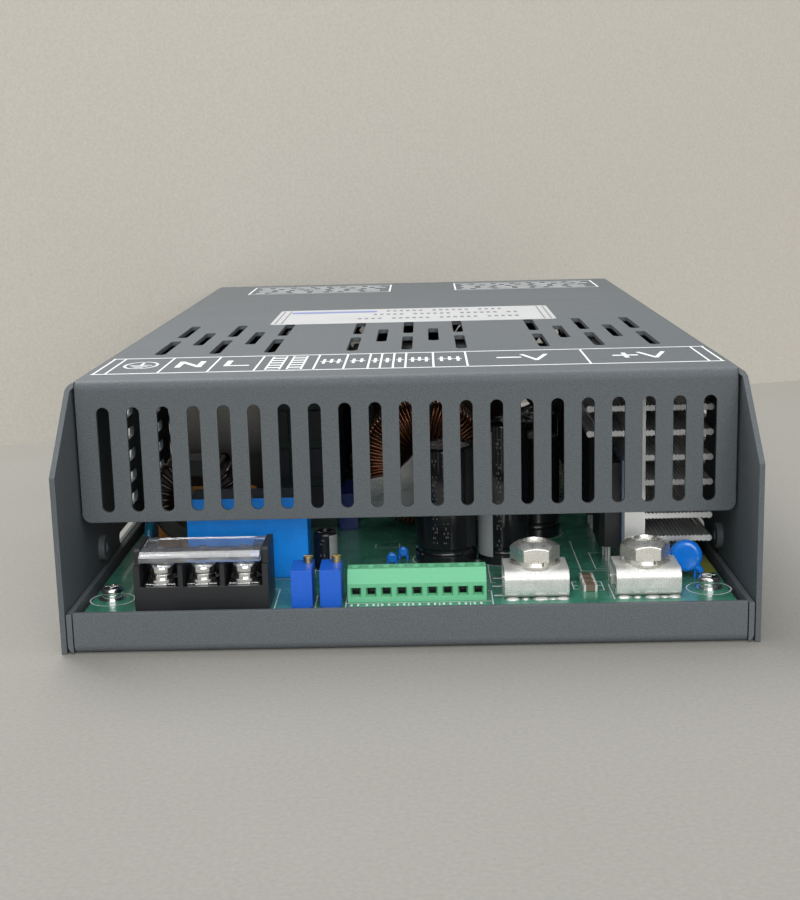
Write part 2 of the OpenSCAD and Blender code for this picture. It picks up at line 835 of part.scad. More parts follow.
module signal_terminal_body() {
    color("#7fcf9b") on_board([sig_x, sig_y]) difference() {
        along_x(sig_len)
            polygon([[0, 0], [0, sig_step_h], [sig_slope, sig_h], [sig_depth, sig_h], [sig_depth, 0]]);
        for (i = [0:sig_ways - 1])
            translate([sig_way_x(i), 0, 0]) {
                translate([-sig_hole[0] / 2, -cut_over, sig_hole_z - sig_hole[1] / 2])
                    cube([sig_hole[0], sig_hole_depth + cut_over, sig_hole[1]]);
                translate([0, 0, sig_hole_z]) sig_mouth();
                translate([0, sig_screw_y, sig_h - sig_well_depth])
                    cylinder(r = sig_screw_r + 0.1, h = sig_well_depth + cut_over);
            }
    }
}

module signal_terminal_screws() {
    tall = 1.8;
    color("#c9cbcc") on_board([sig_x, sig_y]) for (i = [0:sig_ways - 1])
        translate([sig_way_x(i), sig_screw_y, sig_h - sig_well_depth]) difference() {
            cylinder(r = sig_screw_r, h = tall);
            translate([0, 0, tall]) cube([4 * sig_screw_r, 0.5, 1], center = true);
        }
}

// Folded strap: round bends above, feet turned in below, open underneath
module dc_strap(x) {
    foot = 3.2;
    color("#c8c9c6") on_board([x, dc_y]) difference() {
        along_x(dc_w) translate([dc_depth / 2, dc_h / 2]) difference() {
            round_rect(dc_depth, dc_h, dc_bend_r);
            round_rect(dc_depth - 2 * dc_t, dc_h - 2 * dc_t, dc_bend_r - dc_t);
            translate([0, -dc_h / 2]) square([dc_depth - 2 * foot, 2 * dc_t + 0.2], center = true);
        }
        translate([0, dc_bolt_y, dc_h / 2]) cylinder(r = dc_hole_r, h = dc_h);
    }
}

module dc_terminal_negative() {
    dc_strap(dc_x[0]);
}

module dc_terminal_positive() {
    dc_strap(dc_x[1]);
}

// Puts a child on the top of each strap, at its bolt
module at_dc_bolts() {
    for (x = dc_x)
        on_board([x, dc_y + dc_bolt_y]) translate([0, 0, dc_h]) children();
}

module dc_washers() {
    color("#cfd0cd") at_dc_bolts() difference() {
        union() {
            cylinder(r = dc_washer_r, h = dc_flat_t);
            cylinder(r = dc_spring_r, h = dc_washer_t);
        }
        // Split of the spring washer
        translate([0, 0, dc_flat_t]) rotate(-70) translate([0, -0.25, 0])
            cube([dc_spring_r + 1, 0.5, dc_spring_t + 1]);
        translate([0, 0, -cut_over]) cylinder(r = dc_shank_r + seat_gap, h = dc_washer_t + 2 * cut_over);
    }
}

// Hex head whose upper corners are turned off by a ball, with a pressed hollow in the top
module dc_bolts() {
    corner_r = dc_bolt_af / sqrt(3);
    ball_r = 1.75 * corner_r;
    dish_h = 0.7;
    dish_r = 0.33 * dc_bolt_af;
    shank = dc_washer_t + dc_t + dc_nut_t;
    color("#d6d6d2") at_dc_bolts() translate([0, 0, dc_washer_t]) {
        difference() {
            intersection() {
                cylinder(r = corner_r, h = dc_head_h, $fn = 6);
                translate([0, 0, dc_head_h - ball_r + 0.3]) sphere(ball_r, $fn = 96);
            }
            translate([0, 0, dc_head_h - dish_h])
                cylinder(r1 = dish_r - 0.8, r2 = dish_r, h = dish_h + cut_over);
        }
        translate([0, 0, -shank]) cylinder(r = dc_shank_r, h = shank + 0.5);
    }
}

module dc_nuts() {
    color("#b9bab6") at_dc_bolts() translate([0, 0, -dc_t - dc_nut_t]) difference() {
        cylinder(r = dc_nut_af / sqrt(3), h = dc_nut_t, $fn = 6);
        translate([0, 0, -cut_over]) cylinder(r = dc_shank_r + seat_gap, h = dc_nut_t + 2 * cut_over);
    }
}

module x_capacitor() {
    edge_r = 1.2;
    color("#1f7fd6") on_board(x_cap_at) difference() {
        translate([0, -x_cap_size[1] / 2, x_cap_size[2] / 2])
            along_y(x_cap_size[1]) round_rect(x_cap_size[0], x_cap_size[2], edge_r);
        // Hollow under the box that leaves a rim to stand on
        cube([x_cap_size[0] - 4, x_cap_size[1] - 3, 1], center = true);
    }
}

// Dipped disc that stands on its leads: radius, thickness and lead distance
module dipped_disc(r, t, lift, lead_gap) {
    lead_r = 0.35;
    translate([0, t / 2, lift + r]) rotate([90, 0, 0]) {
        cylinder(r = r - t / 2, h = t);
        translate([0, 0, t / 2]) rotate_extrude() translate([r - t / 2, 0]) circle(d = t, $fn = 32);
    }
    for (s = [-1, 1])
        translate([s * lead_gap / 2, 0, 0]) cylinder(r = lead_r, h = lift + r * 0.5);
}

disc_at = [board_half - 8.4, 24.4];
disc_r = 3.9;

module disc_capacitor() {
    tail = 0.75;
    color("#1f7fe0") on_board(disc_at) rotate(-14) {
        dipped_disc(disc_r, 2.4, 1.6, 4.4);
        // Lacquer that ran down one lead
        translate([disc_r * 0.35, 0, 1.6 + disc_r * 0.75]) rotate([0, 140, 0])
            cylinder(r1 = 1.1, r2 = tail, h = disc_r * 0.95);
    }
}

module varistor() {
    color("#2f6f8f") on_board(varistor_at) rotate(90) dipped_disc(varistor_r, varistor_t, 1.5, 5);
}

module ceramic_drops() {
    color("#2a62b4") for (p = drop_at)
        on_board(p) dipped_disc(drop_r, 0.95 * drop_r, 0.8, 2);
}

module chip_capacitors() {
    pad = 0.6;
    color("#9a7a60") for (p = chip_at)
        on_board(p) {
            translate([-chip_size[0] / 2 + pad, -chip_size[1] / 2 + 0.1, 0.1])
                cube(chip_size - [2 * pad, 0.2, 0.1]);
            for (s = [-1, 1])
                translate([s * (chip_size[0] - pad) / 2 - pad / 2, -chip_size[1] / 2, 0])
                    cube([pad, chip_size[1], chip_size[2]]);
        }
}

// Turned outline of a can: crimp near the foot, round shoulders, grown by the given skin
module can_2d(r, h, skin, crimp_r = 1) {
    crimp_z = 3.4;
    difference() {
        union() {
            square([r - 1 + skin, h + skin]);
            square([r + skin, h - 1 + skin]);
            translate([r - 1 + skin, h - 1 + skin]) circle(1);
        }
        if (crimp_r > 0) translate([r + crimp_r * 0.35 + skin, crimp_z]) circle(crimp_r);
    }
}

// Aluminium can, smaller than its sleeve by the sleeve's thickness, with a crossed vent in the top
module can(r, h) {
    inner_r = r - sleeve_t - 0.02;
    difference() {
        rotate_extrude() can_2d(inner_r, h - sleeve_t - 0.02, 0);
        for (a = [0, 90])
            rotate(a) translate([0, 0, h]) cube([1.1 * r, 0.5, 1.4], center = true);
    }
}

// Shrunk sleeve that curls over the can's shoulder
module sleeve(r, h) {
    rotate_extrude() difference() {
        can_2d(r - sleeve_t, h - sleeve_t, sleeve_t);
        can_2d(r - sleeve_t, h - sleeve_t, 0);
        translate([0, h / 2]) square([r - rim_w, h]);
        translate([0, -cut_over]) square([r - rim_w, 2 * cut_over]);
    }
}

module output_capacitor_cans() {
    color("#c4c7c8") for (c = output_caps)
        on_board(c) can(c[2], c[3]);
}

module output_capacitor_sleeves() {
    color("#17191c") for (c = output_caps)
        on_board(c) sleeve(c[2], c[3]);
}

module bulk_capacitor_cans() {
    color("#c4c7c8") for (c = bulk_caps)
        on_board(c) can(c[2], c[3]);
}

module bulk_capacitor_sleeves() {
    color("#17191c") for (c = bulk_caps)
        on_board(c) sleeve(c[2], c[3]);
}

module small_capacitor() {
    color("#17191c") on_board(small_cap_at) rotate_extrude() difference() {
        can_2d(small_cap_r, small_cap_h, 0, 0);
        translate([0, small_cap_h - 0.5]) square([small_cap_r - rim_w, 1]);
    }
}

module inrush_relay() {
    color("#1c3f86") on_board(relay_at) translate([0, -relay_size[1] / 2, relay_size[2] / 2])
        along_y(relay_size[1]) round_rect(relay_size[0], relay_size[2], 0.8);
}

module fuse_tube() {
    color("#d9d6c8") on_board(fuse_at) rotate(90) translate([0, -fuse_len / 2, fuse_lift])
        along_y(fuse_len) circle(fuse_r);
}

// Spring clips: an open ring round each end of the fuse on a stem
module fuse_clips() {
    grip_t = 0.6;
    color("#bfb48f") on_board(fuse_at) rotate(90) for (s = [-1, 1])
        translate([0, (s * (fuse_len - fuse_cap_len) - fuse_cap_len) / 2, fuse_lift]) along_y(fuse_cap_len) {
            difference() {
                circle(fuse_r + seat_gap + grip_t);
                circle(fuse_r + seat_gap);
                translate([0, fuse_r + 1]) square([2 * fuse_r, 2 * fuse_r], center = true);
            }
            translate([-grip_t, -fuse_lift]) square([2 * grip_t, fuse_lift - fuse_r - seat_gap - grip_t / 2]);
        }
}

// Ring core on the XY plane: inner radius, outer radius and height
module ring_core(core) {
    rotate_extrude() translate([(core[0] + core[1]) / 2, core[2] / 2])
        round_rect(core[1] - core[0], core[2], 0.8);
}

// Turns of wire round a ring core, from one angle to another
module ring_turns(core, wire, turns, from, to) {
    w = core[1] - core[0] + 2 * core_gap;
    h = core[2] + 2 * core_gap;
    for (i = [0:turns - 1])
        rotate(from + (to - from) * i / (turns - 1))
            translate([(core[0] + core[1]) / 2, 0, core[2] / 2]) rotate([90, 0, 0])
                linear_extrude(wire, center = true) difference() {
                    round_rect(w + 2 * wire, h + 2 * wire, wire);
                    square([w, h], center = true);
                }
}

// Common-mode choke stands on edge before an upright plate, on a foot of the same piece
cm_seat_gap = 0.3;
cm_plate_gap = 0.6;
cm_reach = cm_core[2] / 2 + core_gap + cm_wire;

module cm_place() {
    on_board(cm_at) translate([0, cm_core[2] / 2, cm_base_t + cm_seat_gap + cm_core[1]])
        rotate([90, 0, 0]) children();
}

module common_mode_base() {
    wide = 2 * cm_core[1] + 7;
    plate_t = 1.4;
    tall = 1.3 * cm_core[1];
    color("#d9922e") on_board(cm_at) {
        translate([-wide / 2, -cm_reach, 0])
            cube([wide, 2 * cm_reach + cm_plate_gap + plate_t, cm_base_t]);
        translate([0, cm_reach + cm_plate_gap, tall / 2]) along_y(plate_t) round_rect(wide, tall, 1.5);
        translate([-wide / 2, cm_reach + cm_plate_gap, 0]) cube([wide, plate_t, tall / 2]);
    }
}

module common_mode_core() {
    color("#1d1e20") cm_place() ring_core(cm_core);
}

// Two windings, left and right, that leave the lower part of the ring bare
module common_mode_winding() {
    color("#a4592a") cm_place() {
        ring_turns(cm_core, cm_wire, cm_turns, -26, 62);
        ring_turns(cm_core, cm_wire, cm_turns, 118, 206);
    }
}

boost_lift = boost_wire + core_gap;

module boost_choke_core() {
    color("#3a3d36") on_board(boost_at) translate([0, 0, boost_lift]) ring_core(boost_core);
}

module boost_choke_winding() {
    color("#b0632c") on_board(boost_at) translate([0, 0, boost_lift])
        ring_turns(boost_core, boost_wire, boost_turns, 8, 352);
}

// Output choke stands on edge, its axis along the case
module choke_place() {
    on_board(choke_at) translate([0, choke_core[2] / 2, choke_core[1] + choke_wire + core_gap])
        rotate([90, 0, 0]) children();
}

module output_choke_core() {
    color("#2c3330") choke_place() ring_core(choke_core);
}

module output_choke_winding() {
    color("#b4632a") choke_place() ring_turns(choke_core, choke_wire, choke_turns, 100, 440);
}

// Tinned bar in front of the output choke: one leg, upper edge cut at a slant
module output_busbar() {
    low = 8.4;
    leg_w = 2.6;
    color("#cfd1d0") on_board(busbar_at) along_y(busbar_t)
        polygon([[-6.5, low], [8 - leg_w, low], [8 - leg_w, 0], [8, 0], [8, 23.2], [5, 23.2], [0, 18.2],
            [-6.5, 17.1]]);
}

// Upright plate on two feet that carries the bridge rectifier
module bridge_plate() {
    foot = 2;
    color("#c9c6bd") on_board(bridge_at) difference() {
        union() {
            translate([0, -bridge_plate_size[1] / 2, foot + bridge_plate_size[2] / 2])
                along_y(bridge_plate_size[1]) round_rect(bridge_plate_size[0], bridge_plate_size[2], 1.5);
            for (s = [-1, 1])
                translate([s * bridge_plate_size[0] * 0.32, 0, foot])
                    cube([3, bridge_plate_size[1], 2 * foot], center = true);
        }
        translate([0, 0, bridge_screw_z]) rotate([90, 0, 0])
            cylinder(r = 1.6, h = 4 * bridge_plate_size[1], center = true);
    }
}

module bridge_rectifier() {
    low = bridge_screw_z - bridge_size[2] / 2 - 2;
    lead_r = 0.6;
    color("#1a1b1d") on_board(bridge_at + [0, bridge_plate_size[1] / 2]) {
        translate([0, 0, low + bridge_size[2] / 2]) along_y(bridge_size[1]) difference() {
            square([bridge_size[0], bridge_size[2]], center = true);
            translate([bridge_size[0], bridge_size[2]] / 2) rotate(45) square(4, center = true);
            translate([0, 2]) circle(1.7);
        }
        for (k = [-1.5:1.5])
            translate([k * 5, bridge_size[1] / 2, 0]) cylinder(r = lead_r, h = low);
    }
}

module control_board() {
    color("#0f3a2c") on_board(control_at) translate([-control_size[0] / 2, 0, 0]) cube(control_size);
}

// Packages on the front of the upright board
module control_chips() {
    body = [5, 1.5, 8];
    color("#202225") on_board(control_at) for (x = [-1, 1], z = [0:2])
        translate([x * 5 - body[0] / 2, -body[1], 4 + z * 10.5]) cube(body);
}

// Row of points for ridges: low and high in turn
function ridge_row(from, count, low, high) =
    [for (k = [0:count - 1], e = [0, 1]) [from + (k + e / 2) * ridge_pitch, e == 0 ? low : high]];

function reversed(list) = [for (i = [len(list) - 1:-1:0]) list[i]];

// Fin with ridged faces and a round tip, drawn along the first axis from its root
module ridged_fin_2d(length) {
    root = 0.5;
    low = fin_t / 2 - ridge_h;
    tip_x = length - fin_t / 2;
    count = floor((tip_x - fin_t / 2) / ridge_pitch);
    upper = ridge_row(0, count, low, fin_t / 2);
    lower = ridge_row(0, count, -low, -fin_t / 2);
    polygon(concat([[-root, -low]], lower, [[tip_x, -low], [tip_x, low]], reversed(upper), [[-root, low]]));
    translate([tip_x, 0]) circle(fin_t / 2);
}

// Extruded section: upright base, long fins to the right, two short fins at the upper left
module output_heatsink() {
    color("#d5d7d8") on_board([sink_x, sink_y]) along_y(sink_len) {
        square([sink_base_t, sink_h]);
        for (z = sink_fin_zs)
            translate([sink_base_t, z]) ridged_fin_2d(sink_tip_x - sink_x - sink_base_t);
        for (k = [4, 5])
            translate([0, sink_fin_zs[k]]) rotate(180) ridged_fin_2d(sink_left_fin);
    }
}

// Flat black power device with a chamfered front edge and a clear hole, its back on the YZ plane
module power_device() {
    half = device_w / 2;
    bevel = 1.2;
    hole_r = 1.8;
    translate([0, 0, device_lift]) difference() {
        linear_extrude(device_h) polygon([[0, -half], [0, half], [bevel - device_t, half],
            [-device_t, half - bevel], [-device_t, bevel - half], [bevel - device_t, -half]]);
        translate([0, 0, device_h * 0.72]) rotate([0, 90, 0])
            cylinder(r = hole_r, h = 4 * device_t, center = true);
    }
}

// Three flat leads of a power device
module power_leads() {
    for (k = [-1:1])
        translate([-device_t / 2, k * device_lead_pitch, device_lift / 2])
            cube([device_lead_t, device_lead_w, device_lift], center = true);
}

module output_rectifiers() {
    color("#1b1c1e") for (y = rectifier_ys)
        on_board([device_back_x, y]) power_device();
}

primary_face_x = primary_x + primary_base_t;

module primary_switches() {
    color("#1b1c1e") for (y = switch_ys)
        on_board([primary_face_x, y]) mirror([1, 0, 0]) power_device();
}

module device_leads() {
    color("#c7c9ca") {
        for (y = rectifier_ys)
            on_board([device_back_x, y]) power_leads();
        for (y = switch_ys)
            on_board([primary_face_x, y]) mirror([1, 0, 0]) power_leads();
    }
}

module primary_heatsink() {
    color("#c9c6bd") on_board([primary_x, primary_y]) along_y(primary_len) {
        square([primary_base_t, primary_h]);
        for (z = [4:fin_pitch:primary_h - 2])
            translate([0, z]) rotate(180) ridged_fin_2d(primary_fin_len);
    }
}

// Transformer sizes before scaling
xf_w = 50;
xf_h = 40;
xf_d = 16;
xf_leg = 14;
xf_yoke = 6;
xf_foot = 4;
xf_gap = 0.3;

// Two-window core standing on its bobbin's feet
module transformer_cores() {
    window = (xf_w - xf_leg) / 2 - xf_yoke;
    color("#2b2d2f") for (t = transformer_at)
        on_board(t) scale(t[2]) translate([0, -xf_d / 2, xf_foot]) along_y(xf_d) difference() {
            translate([-xf_w / 2, 0]) square([xf_w, xf_h]);
            for (s = [-1, 1])
                translate([s * (xf_leg + window) / 2, xf_h / 2])
                    square([window, xf_h - 2 * xf_yoke], center = true);
        }
}

module transformer_windings() {
    window = (xf_w - xf_leg) / 2 - xf_yoke;
    wound_w = xf_leg + 2 * window - 2 * xf_gap;
    wound_d = 40;
    tall = xf_h - 2 * xf_yoke - 2 * xf_gap;
    color("#3a3226") for (t = transformer_at)
        on_board(t) scale(t[2]) {
            translate([0, 0, xf_foot + xf_yoke + xf_gap]) linear_extrude(tall) difference() {
                round_rect(wound_w, wound_d, 5);
                square([xf_leg + 2 * xf_gap, xf_d + 2 * xf_gap], center = true);
            }
            // Feet of the bobbin on both sides of the lower yoke
            for (s = [-1, 1])
                translate([0, s * (xf_d / 2 + xf_gap + 3), (xf_foot + xf_yoke + 1) / 2])
                    cube([wound_w - 6, 6, xf_foot + xf_yoke + 1], center = true);
        }
}

// Puts a child at a fan's axis, on the plane of the frame's front
module at_fan(side) {
    at_front() translate([side * fan_x, fan_front_y, fan_z]) children();
}

module fan_frame(side) {
    hub_y = fan_depth - fan_strut_t;
    tube = hub_y - fan_rotor_gap - fan_cup_t - 2;
    color("#1c1d1f") at_fan(side) difference() {
        union() {
            difference() {
                along_y(fan_depth) difference() {
                    round_rect(fan_size, fan_size, 3);
                    circle(fan_bore_r);
                }
                // Waist between the two flanges, down to the round duct
                translate([0, fan_flange, 0]) along_y(fan_depth - 2 * fan_flange) difference() {
                    square(fan_size + 2 * cut_over, center = true);
                    circle(fan_bore_r + fan_duct_t);
                }
            }
            translate([0, hub_y, 0]) along_y(fan_strut_t) {
                circle(fan_hub_r);
                for (a = [0, 90])
                    rotate(a) square([2 * fan_bore_r + fan_duct_t, fan_strut_w], center = true);
            }
            translate([0, hub_y - tube, 0]) along_y(tube + cut_over) circle(fan_tube_r);
        }
        along_y(fan_depth) fan_holes_2d(fan_hole_r);
        translate([0, hub_y - tube - cut_over, 0])
            along_y(tube + 2 * cut_over + 0.5) circle(fan_shaft_r + run_gap);
    }
}

module fan_rotor(side) {
    cup_len = fan_depth - fan_strut_t - 2 * fan_rotor_gap;
    tip_r = fan_bore_r - fan_tip_gap;
    blade_low = 0.8;
    blade_len = cup_len - 2 * blade_low;
    blade_t = 1;
    pitch_angle = 42;
    color("#26282b") at_fan(side) translate([0, fan_rotor_gap, 0]) {
        difference() {
            along_y(cup_len) circle(fan_hub_r);
            translate([0, fan_cup_t, 0]) along_y(cup_len) circle(fan_hub_r - fan_cup_t);
        }
        along_y(cup_len + fan_rotor_gap + cut_over) circle(fan_shaft_r);
        intersection() {
            translate([0, blade_low, 0]) along_y(blade_len) difference() {
                circle(tip_r);
                circle(fan_hub_r - fan_cup_t / 2);
            }
            for (k = [0:fan_blades - 1])
                rotate([0, k * 360 / fan_blades, 0]) translate([0, cup_len / 2, 0])
                    rotate([pitch_angle, 0, 0]) translate([0, -2 * blade_len, -blade_t / 2])
                        cube([2 * tip_r, 4 * blade_len, blade_t]);
        }
    }
}

module fan_left_frame() {
    fan_frame(-1);
}

module fan_right_frame() {
    fan_frame(1);
}

module fan_left_rotor() {
    fan_rotor(-1);
}

module fan_right_rotor() {
    fan_rotor(1);
}

module fan_screws() {
    head_r = 3.4;
    shank = 9;
    color("#3a3c3f") for (side = [-1, 1], x = [-1, 1], z = [-1, 1])
        at_fan(side) translate([x * fan_hole_at, fan_depth + sheet_t, z * fan_hole_at]) rotate([-90, 0, 0])
            difference() {
                union() {
                    pan_head(head_r, fan_head_h);
                    translate([0, 0, -shank]) cylinder(r = fan_hole_r - seat_gap, h = shank);
                }
                cross_recess(fan_head_h, head_r, 0.9);
            }
}

base_tray();
top_cover();
cover_screws();
side_clinch_nuts();
board_standoffs();
board_screws();
insulation_sheet();
main_board();
ac_terminal_body();
ac_terminal_clamps();
ac_terminal_screws();
ac_terminal_cover();
trimmer_left_body();
trimmer_right_body();
trimmer_left_screw();
trimmer_right_screw();
signal_terminal_body();
signal_terminal_screws();
dc_terminal_negative();
dc_terminal_positive();
dc_bolts();
dc_washers();
dc_nuts();
x_capacitor();
disc_capacitor();
varistor();
ceramic_drops();
chip_capacitors();
small_capacitor();
inrush_relay();
fuse_tube();
fuse_clips();
common_mode_core();
common_mode_base();
common_mode_winding();
bridge_plate();
bridge_rectifier();
control_board();
control_chips();
bulk_capacitor_cans();
bulk_capacitor_sleeves();
primary_heatsink();
primary_switches();
transformer_cores();
transformer_windings();
boost_choke_core();
boost_choke_winding();
output_heatsink();
output_rectifiers();
device_leads();
output_capacitor_cans();
output_capacitor_sleeves();
output_choke_core();
output_choke_winding();
output_busbar();
fan_left_frame();
fan_right_frame();
fan_left_rotor();
fan_right_rotor();
fan_screws();
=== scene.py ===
# %% [markdown]
# # Dressing a switching power supply
# The solids come packed from the CAD step: a folded sheet case, screw terminals along the open front and a
# loaded circuit board behind them. This lesson keeps those solids, gives each a finish, and adds what a solid
# can't carry: printed lines, the run of the wire on the chokes, stripes on the capacitors and solder.
# Everything is in metres in the frame of the solids. Places are written in millimetres, counted from the
# middle of the front lip, because that is how the object was measured.

# %% Load the frame
import json
import math
from itertools import count

import bmesh
import bpy
from mathutils import Matrix, Vector


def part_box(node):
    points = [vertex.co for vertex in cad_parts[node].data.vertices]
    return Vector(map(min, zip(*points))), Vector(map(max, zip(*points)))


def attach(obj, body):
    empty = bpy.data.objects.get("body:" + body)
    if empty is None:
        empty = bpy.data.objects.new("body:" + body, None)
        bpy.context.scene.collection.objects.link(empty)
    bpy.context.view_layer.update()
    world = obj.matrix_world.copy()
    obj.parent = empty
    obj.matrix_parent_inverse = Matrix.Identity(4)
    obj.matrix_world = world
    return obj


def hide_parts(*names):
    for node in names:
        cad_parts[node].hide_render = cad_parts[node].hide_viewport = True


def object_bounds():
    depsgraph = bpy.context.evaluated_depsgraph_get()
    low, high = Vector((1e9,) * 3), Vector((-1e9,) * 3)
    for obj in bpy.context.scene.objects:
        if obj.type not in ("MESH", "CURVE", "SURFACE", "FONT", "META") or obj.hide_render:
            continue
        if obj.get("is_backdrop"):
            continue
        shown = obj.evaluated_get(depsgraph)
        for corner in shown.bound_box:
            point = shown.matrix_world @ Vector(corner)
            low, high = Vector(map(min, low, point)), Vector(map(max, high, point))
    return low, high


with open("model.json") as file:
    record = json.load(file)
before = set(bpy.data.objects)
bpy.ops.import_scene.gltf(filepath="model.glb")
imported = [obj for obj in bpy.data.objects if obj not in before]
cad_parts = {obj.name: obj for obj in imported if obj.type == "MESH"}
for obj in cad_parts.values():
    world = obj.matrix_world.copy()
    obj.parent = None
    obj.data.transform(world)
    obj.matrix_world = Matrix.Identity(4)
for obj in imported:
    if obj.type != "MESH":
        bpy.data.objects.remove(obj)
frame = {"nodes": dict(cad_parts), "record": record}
nodes = frame["nodes"]
cad_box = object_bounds()
MM = 0.001
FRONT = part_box("base_tray")[0].y
BOARD_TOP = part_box("main_board")[1].z
CASE_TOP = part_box("top_cover")[1].z


def place(x, y, z):
    """A point counted in millimetres from the front lip's middle, in the frame of the solids."""
    return Vector((x * MM, FRONT + y * MM, z * MM))


print("nodes", len(nodes), "case top", round(CASE_TOP / MM, 2), "board top", round(BOARD_TOP / MM, 2))

# %% [markdown]
# ## Camera
# The object is seen from just above its front, from about a case length away, with the camera tipped down.
# A camera could be aimed at a point, but that loses its slight roll. So its place, its lens and three small
# turns are set, as found by matching the evenly spaced slots of the front flap. A camera's own axes are X
# right, Y up and minus Z forward, so the turn from the world to image axes is flipped in Y and Z.

# %% Camera at the photograph's angle
LENS = 57.4
NEAREST = 0.01
CAMERA_AT = place(5.18, -305.07, 107.09)
TILT_DOWN, YAW, ROLL = 0.2, 0.0204, -0.0249

camera = bpy.data.objects.new("camera", bpy.data.cameras.new("camera"))
bpy.context.collection.objects.link(camera)
world_to_image = (Matrix.Rotation(ROLL, 3, "Z") @ Matrix.Rotation(TILT_DOWN, 3, "X")
                  @ Matrix.Rotation(YAW, 3, "Y") @ Matrix(((1, 0, 0), (0, 0, -1), (0, 1, 0))))
camera_axes = (Matrix.Diagonal((1, -1, -1)) @ world_to_image).transposed()
camera.matrix_world = Matrix.Translation(CAMERA_AT) @ camera_axes.to_4x4()
camera.data.lens = LENS
camera.data.clip_start = NEAREST
bpy.context.scene.camera = camera
bpy.context.scene.view_settings.view_transform = "Standard"
print("camera", [round(v, 3) for v in camera.location])

# %% [markdown]
# ## Building materials from nodes
# A material is a small graph of nodes. It could be wired up node by node, but that takes many lines for each
# finish. A short helper that places a node and either sets or links each of its sockets keeps the materials
# readable, and a few more give names to what is done most often.

# %% Node helpers
def put(tree, kind, sockets=(), **settings):
    """Adds a shader node; a socket value that is itself a socket becomes a link."""
    node = tree.nodes.new(kind if kind.startswith("Node") else "ShaderNode" + kind)
    for name, value in settings.items():
        setattr(node, name, value)
    for key, value in dict(sockets).items():
        if isinstance(value, bpy.types.NodeSocket):
            tree.links.new(value, node.inputs[key])
        else:
            node.inputs[key].default_value = value
    return node


def calc(tree, operation, a, b=0.0):
    """A Math node's result."""
    return put(tree, "Math", {0: a, 1: b}, operation=operation).outputs[0]


def ramp(tree, value, low, high, to_low=0.0, to_high=1.0):
    """Value mapped from one range to another and held inside it."""
    return put(tree, "MapRange", {0: value, 1: low, 2: high, 3: to_low, 4: to_high}).outputs[0]


def blend(tree, share, a, b):
    """Two colours mixed by a share from 0 to 1."""
    return put(tree, "Mix", {0: share, 6: a, 7: b}, data_type="RGBA").outputs[2]


def object_point(tree):
    """The shaded point in the object's own frame, which is the frame of the solids."""
    return put(tree, "TexCoord").outputs["Object"]


def object_axes(tree):
    """X, Y and Z of the shaded point."""
    return put(tree, "SeparateXYZ", {0: object_point(tree)}).outputs


def off_middle(tree, value, middle):
    """Distance of a value from a middle, on either side."""
    return calc(tree, "ABSOLUTE", calc(tree, "SUBTRACT", value, middle))


print("node helpers ready")

# %% [markdown]
# ## Shared effects
# Grain is the fine bumps of a sprayed or moulded surface. Smudges are soft patches that change the gloss.
# Edges finds where faces meet by comparing the true normal with a rounded one, which also gives sharp CAD
# edges a small highlight. Lines are the marks that rolling, sawing or extruding leaves along one direction.
# Each could be wired again in every material. Built once as a node group, with its size as an input, it
# stays the same everywhere and takes one line to use.

# %% Effect groups
def start_group(name, inputs, outputs):
    """An empty node group with named sockets: inputs are floats with a default, outputs have a kind."""
    tree = bpy.data.node_groups.new(name, "ShaderNodeTree")
    for label, default in inputs.items():
        socket = tree.interface.new_socket(label, in_out="INPUT", socket_type="NodeSocketFloat")
        socket.default_value = default
    for label, kind in outputs.items():
        tree.interface.new_socket(label, in_out="OUTPUT", socket_type="NodeSocket" + kind)
    return tree, put(tree, "NodeGroupInput").outputs, put(tree, "NodeGroupOutput").inputs


def noise_mask(tree, where, size_mm, detail, low, high):
    """Noise of a size in millimetres, with its range from low to high stretched to 0 to 1."""
    scale = calc(tree, "DIVIDE", 1000.0, size_mm)
    noise = put(tree, "TexNoise", {"Vector": where, "Scale": scale, "Detail": detail})
    return ramp(tree, noise.outputs["Fac"], low, high)


grain, ins, outs = start_group("fine_grain", {"Size": 0.5}, {"Grain": "Float"})
grain.links.new(noise_mask(grain, object_point(grain), ins["Size"], 2.0, 0.32, 0.68), outs["Grain"])

smudges, ins, outs = start_group("soft_smudges", {"Size": 12.0}, {"Smudge": "Float"})
smudges.links.new(noise_mask(smudges, object_point(smudges), ins["Size"], 4.0, 0.3, 0.7), outs["Smudge"])

# The dot product of the two normals is 1 on a flat face and falls towards an edge
FLAT, SHARP = 0.995, 0.8
edges, ins, outs = start_group("rounded_edges", {"Width": 0.3}, {"Edge": "Float", "Normal": "Vector"})
radius = calc(edges, "MULTIPLY", ins["Width"], MM)
rounded = put(edges, "Bevel", {"Radius": radius}, samples=4).outputs[0]
true_normal = put(edges, "NewGeometry").outputs["Normal"]
alike = put(edges, "VectorMath", {0: rounded, 1: true_normal}, operation="DOT_PRODUCT").outputs["Value"]
edges.links.new(ramp(edges, alike, FLAT, SHARP), outs["Edge"])
edges.links.new(rounded, outs["Normal"])

lines, ins, outs = start_group("drawn_lines", {"Size": 0.3, "Stretch": 40.0}, {"Lines": "Float"})
squeeze = put(lines, "CombineXYZ", {0: 1.0, 1: calc(lines, "DIVIDE", 1.0, ins["Stretch"]), 2: 1.0}).outputs[0]
drawn = put(lines, "VectorMath", {0: object_point(lines), 1: squeeze}, operation="MULTIPLY").outputs[0]
lines.links.new(noise_mask(lines, drawn, ins["Size"], 3.0, 0.3, 0.7), outs["Lines"])
print("groups", [g.name for g in bpy.data.node_groups])

